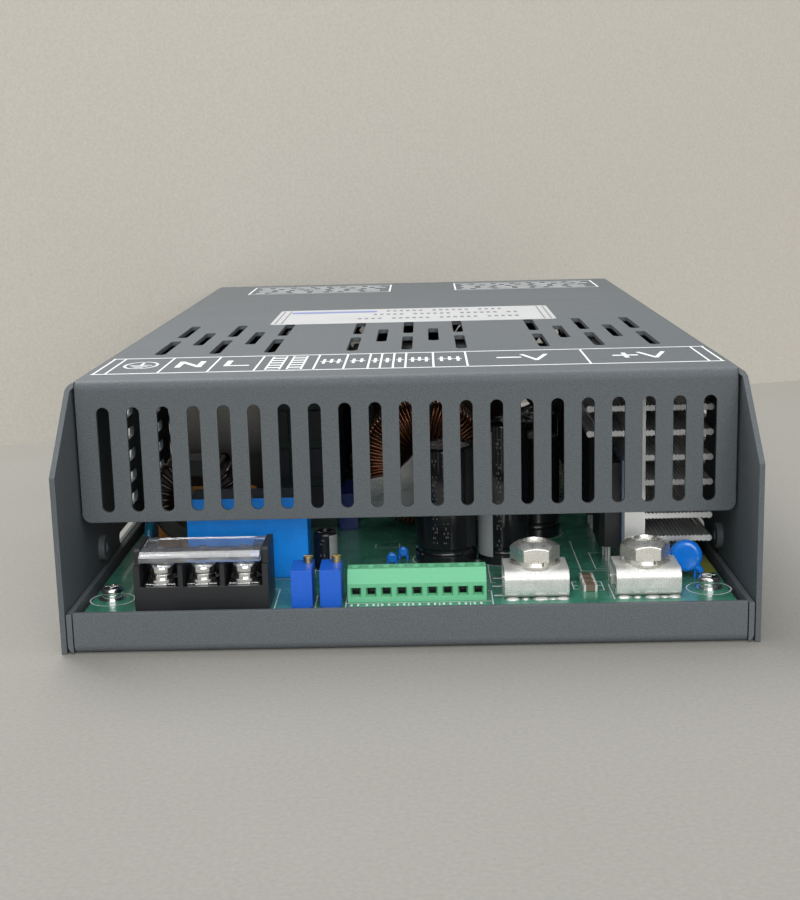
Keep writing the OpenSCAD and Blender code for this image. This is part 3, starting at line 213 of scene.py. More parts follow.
# %% [markdown]
# ## One recipe for most finishes
# Sheet, plastic, lacquer and plating differ in numbers more than in kind: a base colour that varies a little
# with the grain, lighter or bare along worn edges, a gloss that smudges change, and a bump from the grain.
# Each could be a material of its own. One recipe with a few numbers keeps them alike, and a pattern function
# adds what only one of them has. Numbers that are the same all over go straight onto the shader's sockets.

# %% The finish recipe
WORN_LIGHTER = 2.2
BUMP_DEPTH = 0.2
looks = {}


def use(tree, group, **values):
    """Places a node group with its own values and returns its outputs."""
    node = put(tree, "Group", node_tree=group)
    for key, value in values.items():
        node.inputs[key].default_value = value
    return node.outputs


def shade(colour, factor):
    """A colour made darker or lighter, with alpha 1."""
    return (*(min(1.0, c * factor) for c in colour[:3]), 1.0)


def finish(name, colour, rough=0.5, metal=0.0, grain_mm=0.5, bump=0.0, vary=0.05, edge_mm=0.25,
           worn=0.0, worn_colour=None, smudge_mm=12.0, smudge=0.12, pattern=None, **plain):
    """A procedural material; pattern may be a function (tree, colour socket) that returns a new colour."""
    material = bpy.data.materials.new(name)
    material.use_nodes = True
    tree = material.node_tree
    shader = tree.nodes["Principled BSDF"]
    fine = use(tree, grain, Size=grain_mm)["Grain"]
    patch = use(tree, smudges, Size=smudge_mm)["Smudge"]
    edge = use(tree, edges, Width=edge_mm) if edge_mm else None
    tint = blend(tree, fine, shade(colour, 1 - vary), shade(colour, 1 + vary))
    if pattern:
        tint = pattern(tree, tint)
    if worn:
        bare = worn_colour or shade(colour, WORN_LIGHTER)
        tint = blend(tree, calc(tree, "MULTIPLY", edge["Edge"], worn), tint, bare)
    tree.links.new(tint, shader.inputs["Base Color"])
    gloss = ramp(tree, patch, 0.0, 1.0, rough - smudge / 2, rough + smudge / 2)
    tree.links.new(gloss, shader.inputs["Roughness"])
    shader.inputs["Metallic"].default_value = metal
    normal = edge["Normal"] if edge else None
    if bump:
        bumps = put(tree, "Bump", {"Strength": bump, "Distance": BUMP_DEPTH * grain_mm * MM, "Height": fine})
        if normal:
            tree.links.new(normal, bumps.inputs["Normal"])
        normal = bumps.outputs[0]
    if normal:
        tree.links.new(normal, shader.inputs["Normal"])
    for key, value in plain.items():
        shader.inputs[key.replace("_", " ")].default_value = value
    return material


def look(name, colour, **values):
    """Keeps a finish under its name, for the solids."""
    looks[name] = finish(name, colour, **values)


print("recipe ready")

# %% [markdown]
# ## Coat of the case
# The case is sprayed with a fine-textured grey coat, and the tray's copy of it is painted a little lighter. A
# painted highlight of pale specks runs along the bend above the front flap. The specks could be small faces,
# but they follow no outline, so a mask near that line, broken up by the grain, picks them out in the
# material.

# %% Case coat
# The tray's coat is the cover's grey painted about 14 % lighter, a painted light for the brighter light on
# its lip
COAT, TRAY_COAT_PAINTED_LIGHTER = (0.100, 0.113, 0.121), (0.114, 0.128, 0.137)
# The painted highlight fades between two distances, to its sides and down the bend
BEND_Y = 22.1
BEND_NEAR, BEND_FAR = 0.25 * MM, 0.8 * MM
BEND_HIGH, BEND_LOW = 0.4 * MM, 0.9 * MM
# Colour, speck size and share of the painted highlight along the bend
BEND_HIGHLIGHT, BEND_HIGHLIGHT_MM, BEND_HIGHLIGHT_SHARE = (0.42, 0.45, 0.48, 1.0), 0.45, 0.12
SPRAYED = dict(rough=0.62, grain_mm=0.35, bump=0.6, vary=0.16, edge_mm=0.3, worn=0.35, smudge_mm=40,
               smudge=0.08, Specular_IOR_Level=0.35)


def painted_bend_highlight(tree, colour):
    """Painted highlight: pale specks of sheen along the start of the bend between the top and the front flap.
    """
    where = object_axes(tree)
    near = ramp(tree, off_middle(tree, where["Y"], FRONT + BEND_Y * MM), BEND_NEAR, BEND_FAR, 1.0, 0.0)
    above = ramp(tree, where["Z"], CASE_TOP - BEND_LOW, CASE_TOP - BEND_HIGH)
    highlight_specks = ramp(tree, use(tree, grain, Size=BEND_HIGHLIGHT_MM)["Grain"], 0.25, 0.75, 0.0, BEND_HIGHLIGHT_SHARE)
    return blend(tree, calc(tree, "MULTIPLY", calc(tree, "MULTIPLY", near, above), highlight_specks), colour, BEND_HIGHLIGHT)


look("tray_coat", TRAY_COAT_PAINTED_LIGHTER, **SPRAYED)
look("cover_coat", COAT, pattern=painted_bend_highlight, **SPRAYED)
print("coats", list(looks))

# %% [markdown]
# ## Plated hardware
# Screws are zinc plated, the fan screws dark, the trimmers' screws brass, and the output bolts satin nickel
# over tinned straps. All are metals that mirror the room, so little of their look is colour: what tells them
# apart is how rough they are and how uneven. A higher roughness with bump suits tin, a low one suits zinc.

# %% Hardware
look("zinc_steel", (0.80, 0.80, 0.78), rough=0.16, metal=1.0, grain_mm=0.5, bump=0.03, edge_mm=0.15,
     smudge_mm=3, smudge=0.08)
look("dark_steel", (0.05, 0.05, 0.055), rough=0.38, metal=0.9, grain_mm=0.4, bump=0.1)
look("brass", (0.62, 0.46, 0.20), rough=0.32, metal=1.0, grain_mm=0.4, bump=0.08, smudge_mm=3)
look("bolt_nickel", (0.95, 0.93, 0.87), rough=0.27, metal=0.9, grain_mm=0.6, bump=0.08, edge_mm=0.3,
     smudge_mm=3, smudge=0.1)
look("tinned", (0.80, 0.80, 0.76), rough=0.36, metal=0.5, grain_mm=0.3, bump=0.35, vary=0.16, edge_mm=0.25,
     smudge_mm=3, smudge=0.2)
look("bar_tin", (0.44, 0.43, 0.43), rough=0.3, metal=0.8, grain_mm=0.6, bump=0.03, smudge_mm=6, smudge=0.2)
print("finishes so far", len(looks))

# %% [markdown]
# ## Heat sinks, cans and wire
# An extruded heat sink is grey along its length and bright where the saw cut it. The plate at the left has a
# painted shade that darkens it from its top towards the board. These could be separate pieces with separate
# finishes, but one solid is one extrusion. So the material looks at which way a face points, or how high it
# lies.

# %% Aluminium and copper
DRAWN_MM, DRAWN_STRETCH = 0.4, 60.0
FIN_LINES, PLATE_LINES = 0.25, 0.15
# A normal's part along an axis, where the mask of its faces starts and where it is full
FRONT_FACES = (-0.6, -0.9)
SAWN = (0.86, 0.86, 0.84, 1.0)
# Colour of the painted shade at the plate's foot, and the heights over which it fades out
PLATE_SHADE, PLATE_SHADE_FROM, PLATE_SHADE_TO = (0.05, 0.047, 0.043, 1.0), 20 * MM, 34 * MM


def drawn_along(tree, colour, strength):
    """Darkens a metal in lines along the case."""
    streak = use(tree, lines, Size=DRAWN_MM, Stretch=DRAWN_STRETCH)["Lines"]
    dark = put(tree, "HueSaturation", {"Value": 1 - strength, "Color": colour}).outputs[0]
    return blend(tree, streak, dark, colour)


def facing(tree, axis, low, high):
    """Mask of the faces that look along an axis."""
    normal = put(tree, "SeparateXYZ", {0: put(tree, "NewGeometry").outputs["True Normal"]}).outputs[axis]
    return ramp(tree, normal, low, high)


def sawn_ends(tree, colour):
    """Extruded faces are grey, the ends cut by the saw are bright."""
    return blend(tree, facing(tree, "Y", *FRONT_FACES), drawn_along(tree, colour, FIN_LINES), SAWN)


def painted_shade_foot(tree, colour):
    """Plate with a painted shade that darkens it from its top towards the board."""
    share = ramp(tree, object_axes(tree)["Z"], BOARD_TOP + PLATE_SHADE_FROM, BOARD_TOP + PLATE_SHADE_TO)
    return blend(tree, share, PLATE_SHADE, drawn_along(tree, colour, PLATE_LINES))


look("aluminium", (0.68, 0.69, 0.69), rough=0.4, metal=0.7, grain_mm=0.5, bump=0.08, edge_mm=0.1,
     pattern=sawn_ends)
look("plate", (0.52, 0.50, 0.46), rough=0.5, metal=0.4, grain_mm=0.5, bump=0.1, pattern=painted_shade_foot)
look("can", (0.34, 0.35, 0.36), rough=0.22, metal=1.0, grain_mm=0.5, bump=0.05)
look("copper", (0.21, 0.070, 0.024), rough=0.18, metal=0.85, grain_mm=0.6, bump=0.05, vary=0.15, smudge_mm=5,
     Coat_Weight=0.8, Coat_Roughness=0.08)
look("enamel_dark", (0.025, 0.010, 0.005), rough=0.3, metal=0.3, grain_mm=0.6, bump=0.05, Coat_Weight=0.4)
print("finishes so far", len(looks))

# %% [markdown]
# ## Circuit board
# The board's solder resist shows the copper below it as paler tracks. They could be modelled as ribbons, but
# they lie under the lacquer and there are hundreds. Square cells of a Voronoi texture give areas that run
# straight and turn at right angles. The chip capacitors on the board have bare metal caps at both ends.

# %% Board and chips
TRACK_CELLS, TRACK_EDGE, TRACK_SHARE = 160.0, (0.40, 0.44), 0.5
PALER = {"Value": 1.5, "Saturation": 0.95}
CHIP_CAP = 0.55 * MM
BARE_METAL = (0.62, 0.61, 0.58, 1.0)


def tracks(tree, colour):
    """Paler copper tracks under the solder resist."""
    cells = put(tree, "TexVoronoi", {"Vector": object_point(tree), "Scale": TRACK_CELLS, "Randomness": 0.7},
                distance="CHEBYCHEV", feature="F1")
    pour = ramp(tree, cells.outputs["Distance"], *TRACK_EDGE)
    pale = put(tree, "HueSaturation", {**PALER, "Color": colour}).outputs[0]
    return blend(tree, calc(tree, "MULTIPLY", pour, TRACK_SHARE), pale, colour)


def tinned_ends(tree, colour):
    """Bare metal caps at both ends of the chip capacitors."""
    low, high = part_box("chip_capacitors")
    off = off_middle(tree, object_axes(tree)["X"], (low.x + high.x) / 2)
    cap = calc(tree, "GREATER_THAN", off, (high.x - low.x) / 2 - CHIP_CAP)
    return blend(tree, cap, colour, BARE_METAL)


look("board_green", (0.036, 0.185, 0.122), rough=0.28, grain_mm=0.8, bump=0.04, pattern=tracks,
     Coat_Weight=0.3)
look("board_dark", (0.003, 0.022, 0.015), rough=0.4, grain_mm=0.8, bump=0.05, pattern=tracks)
look("chip_brown", (0.17, 0.125, 0.085), rough=0.45, grain_mm=0.3, bump=0.1, edge_mm=0.1, pattern=tinned_ends)
print("finishes so far", len(looks))

# %% [markdown]
# ## Terminals
# The terminals are moulded: a black one for the mains under a clear cover, a green one for the signals, and
# two blue trimmers beside it. The green one's wire entries lead into hollows darkened by a painted shade.
# Dark faces could be set one by one, but the solid stays as it is, so the material paints shade behind the
# front wall.

# %% Terminal plastics
HOLLOW_START, HOLLOW_FULL = 1.15 * MM, 1.4 * MM
HOLLOW_TOP, HOLLOW_SIDE = 4.2 * MM, 0.4 * MM
# Colour of the painted shade inside the wire entries
HOLLOW_SHADE = (0.01, 0.03, 0.02, 1.0)


def painted_shade_in_ways(tree, colour):
    """Painted shade in the wire entries of the signal terminal: everything behind its front wall is darkened.
    """
    low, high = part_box("signal_terminal_body")
    where = object_axes(tree)
    behind = ramp(tree, where["Y"], low.y + HOLLOW_START, low.y + HOLLOW_FULL)
    below = calc(tree, "LESS_THAN", where["Z"], low.z + HOLLOW_TOP)
    off = off_middle(tree, where["X"], (low.x + high.x) / 2)
    inside = calc(tree, "LESS_THAN", off, (high.x - low.x) / 2 - HOLLOW_SIDE)
    dark = calc(tree, "MULTIPLY", calc(tree, "MULTIPLY", behind, below), inside)
    return blend(tree, dark, colour, HOLLOW_SHADE)


look("black_plastic", (0.014, 0.015, 0.017), rough=0.42, grain_mm=0.5, bump=0.12, worn=0.12,
     worn_colour=(0.09, 0.09, 0.1, 1))
look("green_plastic", (0.165, 0.55, 0.30), rough=0.38, grain_mm=0.6, bump=0.05, vary=0.03, pattern=painted_shade_in_ways)
look("trimmer_blue", (0.010, 0.12, 0.64), rough=0.42, grain_mm=0.6, bump=0.05)
look("clear_plastic", (0.98, 0.985, 1.0), rough=0.03, grain_mm=2.0, vary=0.0, smudge=0.03, edge_mm=0.25,
     Transmission_Weight=0.93, IOR=1.49)
print("finishes so far", len(looks))

# %% [markdown]
# ## Parts on the board
# Dipped capacitors are glossy with lacquer, the box capacitor and the relay are smooth mouldings, the
# electrolytics wear shrunk black sleeves. The box capacitor's top is darkened by a painted shade. A second
# material on its top faces would do, but a mask of the faces that look up leaves the solid untouched.

# %% Capacitors, relay and inside parts
UP_FACES = (0.6, 0.9)
# Near-black painted shade on the box capacitor's top
BOX_TOP_SHADE = (0.006, 0.02, 0.05, 1.0)


def shaded_top(tree, colour):
    """Box capacitor whose upper face is darkened by a painted shade."""
    return blend(tree, facing(tree, "Z", *UP_FACES), colour, BOX_TOP_SHADE)


look("box_blue", (0.002, 0.29, 1.0), rough=0.36, grain_mm=1.2, bump=0.05, edge_mm=0.6, pattern=shaded_top)
look("lacquer_blue", (0.006, 0.20, 0.80), rough=0.16, grain_mm=1.5, bump=0.05, Coat_Weight=0.8)
look("lacquer_teal", (0.010, 0.13, 0.22), rough=0.2, grain_mm=1.5, bump=0.05, Coat_Weight=0.6)
look("relay_blue", (0.008, 0.022, 0.14), rough=0.3, grain_mm=0.8, bump=0.04, edge_mm=0.5)
look("sleeve_black", (0.010, 0.010, 0.012), rough=0.22, grain_mm=2.0, bump=0.04, smudge_mm=6, Coat_Weight=0.4)
look("ferrite", (0.03, 0.032, 0.03), rough=0.65, grain_mm=0.5, bump=0.25)
look("orange_plastic", (0.60, 0.26, 0.03), rough=0.4, grain_mm=0.8, bump=0.05)
look("tape_dark", (0.035, 0.024, 0.016), rough=0.3, grain_mm=3.0, bump=0.05, Coat_Weight=0.4)
look("film", (0.16, 0.20, 0.27), rough=0.3, grain_mm=1.0, bump=0.03)
look("fuse_glass", (0.85, 0.87, 0.85), rough=0.05, smudge=0.04, vary=0.0, Transmission_Weight=0.85, IOR=1.5)
print("finishes", len(looks))

# %% [markdown]
# ## A finish on every solid
# The record names a material slot for each solid, and the finishes above carry the same names. Assigning
# them one by one would work too, but a loop over the record can't forget a part. A few parts look unlike the
# rest of their slot: the clinch nuts were sprayed with the case, the bolts are satin, the bar is polished.

# %% Assign the finishes
OWN_FINISH = {"side_clinch_nuts": "tray_coat", "dc_bolts": "bolt_nickel", "dc_washers": "bolt_nickel",
              "output_busbar": "bar_tin"}
for part in frame["record"]["subparts"]:
    mesh = nodes[part["node"]].data
    mesh.materials.clear()
    mesh.materials.append(looks[OWN_FINISH.get(part["node"], part["material_slot"])])
print("finishes", len(looks), "on", len(nodes), "nodes")

# %% [markdown]
# ## Flat ink
# The white lines on the cover and on the board are ink. They could be drawn in the material, but lines that
# thin need exact ends. So they are flat ribbons a few hundredths of a millimetre above the surface: a ribbon
# is a row of four-sided faces along a line, and a letter is a few short lines.

# %% Ribbons of ink
INK_LIFT = 0.03
INK_STEP, INK_LEVELS = 0.004, 7
stroke_number = count(1)


def new_piece(name, bm, material, body="case"):
    """Turns a bmesh into a piece that rides on a body."""
    mesh = bpy.data.meshes.new(name)
    bm.to_mesh(mesh)
    bm.free()
    mesh.materials.append(material)
    piece = bpy.data.objects.new(name, mesh)
    bpy.context.collection.objects.link(piece)
    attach(piece, body)
    print(name, "faces", len(mesh.polygons))


def ribbon(bm, points, width, z):
    """Flat ribbon along points given in millimetres from the front; z is in metres. Strokes that cross lie a
    few thousandths of a millimetre apart, because faces in one plane would shade each other."""
    for (x0, y0), (x1, y1) in zip(points, points[1:]):
        level = z + INK_STEP * MM * (next(stroke_number) % INK_LEVELS)
        run = Vector((x1 - x0, y1 - y0)).normalized() * width / 2
        side = Vector((-run.y, run.x))
        corners = [(x0 - run.x - side.x, y0 - run.y - side.y), (x1 + run.x - side.x, y1 + run.y - side.y),
                   (x1 + run.x + side.x, y1 + run.y + side.y), (x0 - run.x + side.x, y0 - run.y + side.y)]
        bm.faces.new([bm.verts.new((x * MM, FRONT + y * MM, level)) for x, y in corners])


def ring(cx, cy, rx, ry, parts=40):
    """Points of a closed oval."""
    turn = 2 * math.pi / parts
    return [(cx + rx * math.cos(i * turn), cy + ry * math.sin(i * turn)) for i in range(parts + 1)]


def box_line(x0, y0, x1, y1):
    """Points of a closed rectangle."""
    return [(x0, y0), (x1, y0), (x1, y1), (x0, y1), (x0, y0)]


white_ink = finish("white_ink", (0.88, 0.89, 0.89), rough=0.5, grain_mm=0.5, vary=0.06, edge_mm=0)
print("ink ready,", INK_LIFT, "mm above the surface")

# %% [markdown]
# ## Print on the cover
# A framed strip above the terminals marks them: the earth sign, N, L, some narrow cells for the signal ways,
# and the two outputs. A text object could write the letters, but it brings a font's outline with it. The few
# strokes needed are ribbons like the frame, each with its own width.

# %% Frame and signs of the terminal strip
STRIP_FRONT, STRIP_BACK = 32.6, 59.2
STRIP_LEFT, STRIP_RIGHT = (-74.6, -71.7), (72.1, 75.1)
CELLS = [-59.2, -47.3, -36.2, -22.0, -14.8, -9.0, -6.1, -3.0, 0.0, 6.75, 14.9, 44.1]
FRAME_LINE, CELL_LINE = 1.0, 0.5
EARTH_X = -65.6
EARTH_BARS = [(2.4, 46.4), (1.6, 44.4), (0.8, 42.6)]
INK_Z = CASE_TOP + INK_LIFT * MM
# Width of each stroke and its points: earth, N, L, minus with V, plus with V
SIGNS = [
    (0.65, ring(EARTH_X, 46.6, 4.0, 5.8)),
    (0.7, [(EARTH_X, 46.4), (EARTH_X, 50.6)]),
    *[(0.8, [(EARTH_X - half, y), (EARTH_X + half, y)]) for half, y in EARTH_BARS],
    (1.4, [(-55.9, 42.2), (-55.9, 51.0), (-50.75, 42.2), (-50.75, 51.0)]),
    (1.4, [(-43.95, 51.0), (-43.95, 42.6), (-39.0, 42.6)]),
    (1.7, [(23.2, 46.5), (27.6, 46.5)]),
    (1.1, [(28.9, 51.0), (31.9, 41.3), (34.7, 51.0)]),
    (1.7, [(51.65, 46.0), (56.2, 46.0)]),
    (1.1, [(53.9, 42.2), (53.9, 50.0)]),
    (1.1, [(57.8, 50.7), (60.8, 41.1), (63.8, 50.7)]),
]

strip = bmesh.new()
for y in (STRIP_FRONT, STRIP_BACK):
    ribbon(strip, [(STRIP_LEFT[0], y), (STRIP_RIGHT[1], y)], FRAME_LINE, INK_Z)
for x in [*STRIP_LEFT, *CELLS, *STRIP_RIGHT]:
    ribbon(strip, [(x, STRIP_FRONT), (x, STRIP_BACK)], CELL_LINE, INK_Z)
for width, points in SIGNS:
    ribbon(strip, points, width, INK_Z)
print("terminal strip cells", len(CELLS) + 1, "strokes in signs", len(SIGNS))

# %% [markdown]
# ### Bars in the small cells
# Two tall boxes and the narrow cells of the signal ways carry short plain bars. They could be placed one by
# one, but they are evenly spaced, so each cell is divided by its own width.

# %% Bars of the terminal strip
TALL_BOXES, TALL_HALF, TALL_FRONT, TALL_BACK = (-31.9, -26.7), 1.7, 34.6, 57.0
RUNGS, RUNG_FIRST, RUNG_PITCH, RUNG_HALF, RUNG_WIDE = 5, 37.6, 4.1, 0.7, 1.6
SIGNAL_LINES = CELLS[3:11]
BAR_SPACE, BAR_FRONT, BAR_BACK, BAR_STAGGER, BAR_WIDE = 2.4, 43.0, 50.0, 1.4, 0.75
CROSS_Y, CROSS_HALF, CROSS_WIDE = 46.5, 0.5, 0.9

for x in TALL_BOXES:
    ribbon(strip, box_line(x - TALL_HALF, TALL_FRONT, x + TALL_HALF, TALL_BACK), CELL_LINE, INK_Z)
    for k in range(RUNGS):
        y = RUNG_FIRST + RUNG_PITCH * k
        ribbon(strip, [(x - RUNG_HALF, y), (x + RUNG_HALF, y)], RUNG_WIDE, INK_Z)
for left, right in zip(SIGNAL_LINES, SIGNAL_LINES[1:]):
    bars = max(1, round((right - left) / BAR_SPACE))
    for k in range(bars):
        x = left + (right - left) * (k + 1) / (bars + 1)
        ribbon(strip, [(x, BAR_FRONT + BAR_STAGGER * (k % 2)), (x, BAR_BACK)], BAR_WIDE, INK_Z)
        ribbon(strip, [(x - CROSS_HALF, CROSS_Y), (x + CROSS_HALF, CROSS_Y)], CROSS_WIDE, INK_Z)
new_piece("terminal_strip_print", strip, white_ink)

# %% [markdown]
# ## Label
# The white label is a thin plastic film with rounded corners. A flat face would do from above, but it would
# have no edge to catch light, so it is a thin slab whose four upright edges are bevelled.

# %% Label film
LABEL_LEFT, LABEL_FRONT, LABEL_RIGHT, LABEL_BACK = -42.4, 129.8, 44.8, 169.9
FILM_LIFT, FILM_THICK, FILM_CORNER = 0.04, 0.06, 0.8
label_film = finish("label_film", (0.54, 0.55, 0.55), rough=0.4, grain_mm=1.5, vary=0.02, edge_mm=0)

slab = bmesh.new()
bmesh.ops.create_cube(slab, size=1.0)
across, deep = LABEL_RIGHT - LABEL_LEFT, LABEL_BACK - LABEL_FRONT
for v in slab.verts:
    v.co = place((LABEL_LEFT + LABEL_RIGHT) / 2 + v.co.x * across,
                 (LABEL_FRONT + LABEL_BACK) / 2 + v.co.y * deep,
                 CASE_TOP / MM + FILM_LIFT + FILM_THICK * v.co.z)
upright = [e for e in slab.edges if abs(e.verts[0].co.z - e.verts[1].co.z) > 1e-6]
bmesh.ops.bevel(slab, geom=upright, offset=FILM_CORNER * MM, segments=4, affect="EDGES")
new_piece("top_label", slab, label_film)

# %% [markdown]
# ### Rules on the label
# A double line closes the label at each end, and between them stand rows of short grey bars and one blue
# bar. They are ribbons again, on top of the film. A counter leaves a wider space after each sixth bar, which
# looks less like a ruler than an even row does.

# %% Label rules
RULE_Z = CASE_TOP + 0.09 * MM
END_LINES, END_SHORT, END_WIDE = (1.4, 3.4), 2.0, 0.45
# Each row's distance from the front, its start and its end
RULES = [(163.0, -7.0, 31.0), (153.0, -11.0, 35.5), (141.5, -15.5, 35.0)]
RULE_STEP, RULE_SPACE, RULE_GROUP = 2.1, 4.4, 6
RULE_HALF, RULE_WIDE, RULE_STOP = 1.2, 1.1, 1.5
BLUE_Y, BLUE_LEFT, BLUE_RIGHT, BLUE_WIDE = 162.0, -36.0, -13.0, 4.6
label_grey = finish("label_grey", (0.20, 0.20, 0.22), rough=0.5, grain_mm=0.6, edge_mm=0)
label_blue = finish("label_blue", (0.20, 0.24, 0.52), rough=0.5, grain_mm=0.6, edge_mm=0)

rules = bmesh.new()
for x in [*(LABEL_LEFT + d for d in END_LINES), *(LABEL_RIGHT - d for d in reversed(END_LINES))]:
    ribbon(rules, [(x, LABEL_FRONT + END_SHORT), (x, LABEL_BACK - END_SHORT)], END_WIDE, RULE_Z)
for k, (y, x0, x1) in enumerate(RULES):
    x, marks = x0, 0
    while x < x1 - RULE_STOP:
        ribbon(rules, [(x, y - RULE_HALF), (x, y + RULE_HALF)], RULE_WIDE, RULE_Z)
        marks += 1
        x += RULE_STEP if (marks + k) % RULE_GROUP else RULE_SPACE
new_piece("top_label_rules", rules, label_grey)

bar = bmesh.new()
ribbon(bar, [(BLUE_LEFT, BLUE_Y), (BLUE_RIGHT, BLUE_Y)], BLUE_WIDE, RULE_Z)
new_piece("top_label_bar", bar, label_blue)

# %% [markdown]
# ### Boxes near the rear edge
# Two outlined boxes of short white dashes lie near the rear edge of the top. The dashes vary in length.
# Random lengths would do, but they would need a seed, so a remainder of the row and column is used.

# %% Rear boxes
REAR_FRONT, REAR_BACK = 234.0, 262.0
REAR_BOXES, REAR_LINE = [(-61.2, -8.3), (16.5, 69.7)], 0.6
ROWS, ROW_PITCH, ROW_IN, ROW_FIRST = 5, 4.9, 3.0, 4.0
DASHES, DASH_SHORT, DASH_WIDE, DASH_SPACE, DASH_STOP = 11, 2.0, 1.3, 3.4, 2.5

boxes = bmesh.new()
for x0, x1 in REAR_BOXES:
    ribbon(boxes, box_line(x0, REAR_FRONT, x1, REAR_BACK), REAR_LINE, INK_Z)
    for k in range(ROWS):
        left, y = x0 + ROW_IN + k % 2, REAR_FRONT + ROW_FIRST + ROW_PITCH * k
        for j in range(DASHES):
            long = DASH_SHORT + (3 * j + 5 * k) % 4
            if left + long < x1 - DASH_STOP:
                ribbon(boxes, [(left, y), (left + long, y)], DASH_WIDE, INK_Z)
            left += long + DASH_SPACE
new_piece("rear_box_print", boxes, white_ink)

# %% [markdown]
# ## Print on the board
# The board carries thin white outlines: a ring round each corner screw, the edges of the terminal blocks and
# the outlines of the parts behind them. They could be drawn in the board's material, but straight ribbons
# with sharp ends are easier to place. Small bars stand in front of the signal ways, one pair to each.

# %% Board outlines
SILK_Z = BOARD_TOP + INK_LIFT * MM
SILK_LINE, SCREW_LINE, CAN_LINE = 0.24, 0.26, 0.22
OUTLINES = [
    [(-30.6, 5.6), (-30.7, 21.4), (-62.3, 21.4), (-62.2, 5.6)],
    [(-54.6, 29.7), (-23.4, 29.7), (-23.4, 43.5), (-54.6, 43.5), (-54.6, 29.7)],
    [(-21.3, 5.4), (-21.4, 15.9)],
    [(-14.4, 5.4), (-14.5, 22.5)],
    [(18.3, 16.9), (19.1, 16.9), (19.1, 6.7)],
    [(19.1, 9.0), (-14.3, 9.0)],
    [(41.6, 59.6), (41.7, 31.7), (50.8, 31.7)],
    [(48.1, 48.1), (45.3, 48.1), (45.4, 33.3), (50.8, 33.3)],
    [(39.4, 22.8), (38.4, 22.8), (38.4, 16.8), (39.4, 16.8)],
    [(44.2, 22.6), (45.3, 22.6), (45.3, 15.8), (44.2, 15.8)],
    [(38.4, 19.8), (39.4, 19.8)],
    [(44.2, 19.5), (45.3, 19.5)],
    [(46.8, 20.2), (46.8, 8.8)],
    [(-9.2, 60.5), (-9.2, 56.6), (-3.0, 56.6), (-3.0, 60.5)],
    [(19.3, 38.6), (19.3, 23.4), (20.4, 23.4)],
    [(-12.2, 29.3), (-7.7, 29.3), (-7.8, 35.1), (-12.2, 35.1), (-12.2, 29.3)],
]
# Places of the electrolytics: three at the output and a small one behind the trimmers
OUTPUT_LEFT, OUTPUT_MIDDLE, OUTPUT_RIGHT = (9.05, 45.1), (23.45, 44.2), (33.4, 68.5)
SMALL_CAN = (-20.9, 39.4)
CAN_RINGS = [(OUTPUT_LEFT, 8.4), (OUTPUT_MIDDLE, 6.9), (OUTPUT_RIGHT, 7.0), (SMALL_CAN, 3.6)]
SCREW_WASHER, SCREW_RING = 3.12, 5.1
WAYS, WAY_FIRST, WAY_PITCH = 9, -12.3, 3.5
MARK_OFFS, MARK_FRONT, MARK_BACK, MARK_WIDE = (-0.8, 0.7), 7.1, 8.2, 0.5
TICK_FRONT, TICK_BACK, TICK_WIDE = 6.6, 8.5, 0.25
PADS = [(-23.3, 9.0), (-16.9, 8.8), (20.6, 20.4), (20.6, 13.2), (21.0, 27.0)]
PAD_HALF, PAD_WIDE = 0.6, 0.9
screw_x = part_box("board_screws")[1].x / MM - SCREW_WASHER
screw_y = (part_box("board_screws")[0].y - FRONT) / MM + SCREW_WASHER

silk = bmesh.new()
for line in OUTLINES:
    ribbon(silk, line, SILK_LINE, SILK_Z)
for side in (-1, 1):
    ribbon(silk, ring(side * screw_x, screw_y, SCREW_RING, SCREW_RING), SCREW_LINE, SILK_Z)
for (cx, cy), r in CAN_RINGS:
    ribbon(silk, ring(cx, cy, r, r), CAN_LINE, SILK_Z)
for k in range(WAYS):
    x = WAY_FIRST + WAY_PITCH * k
    for off in MARK_OFFS:
        ribbon(silk, [(x + off, MARK_FRONT), (x + off, MARK_BACK)], MARK_WIDE, SILK_Z)
    if k % 2:
        between = x + WAY_PITCH / 2
        ribbon(silk, [(between, TICK_FRONT), (between, TICK_BACK)], TICK_WIDE, SILK_Z)
for x, y in PADS:
    ribbon(silk, [(x - PAD_HALF, y), (x + PAD_HALF, y)], PAD_WIDE, SILK_Z)
new_piece("board_outlines", silk, white_ink)

# %% [markdown]
# ## Wound chokes
# The solids hold each coil as separate closed turns. Real wire runs on: down the inside of the ring, along
# below, up the outside, and a little further round each time. A screw modifier could turn a profile, but it
# can't follow a ring's four sides. One bevelled curve does, and turning it into a mesh keeps it the same in
# every renderer. Where many fine turns crowd the bore, every second one lies over the first.

# %% One turn of wire
CORE_GAP = 0.2
CORNER_CUT = 0.29
LAYER_LIFT = 0.8
# Inner radius, outer radius and height of the output choke's core, and its wire
OUTPUT_CORE, OUTPUT_WIRE = (8.5, 16.5, 14.0), 0.9


def one_turn(core, wire, layer):
    """Radius and height along one turn; a turn of the second layer lies over the first in the bore."""
    inner, outer, height = core
    gap = wire / 2 + CORE_GAP
    lift = LAYER_LIFT * wire * layer
    low, high, near, far = -gap, height + gap, inner - gap - wire * layer, outer + gap
    corners = [((near, high + lift), (1, 0)), ((far, high), (0, -1)),
               ((far, low), (-1, 0)), ((near, low - lift), (0, 1))]
    path = []
    for k, ((r, z), (dr, dz)) in enumerate(corners):
        from_r, from_z = corners[k - 1][1]
        path.append((r - from_r * wire, z - from_z * wire))
        path.append((r + (dr - from_r) * wire * CORNER_CUT, z + (dz - from_z) * wire * CORNER_CUT))
        path.append((r + dr * wire, z + dz * wire))
    return path


print("points in one turn", len(one_turn(OUTPUT_CORE, OUTPUT_WIRE, 0)))
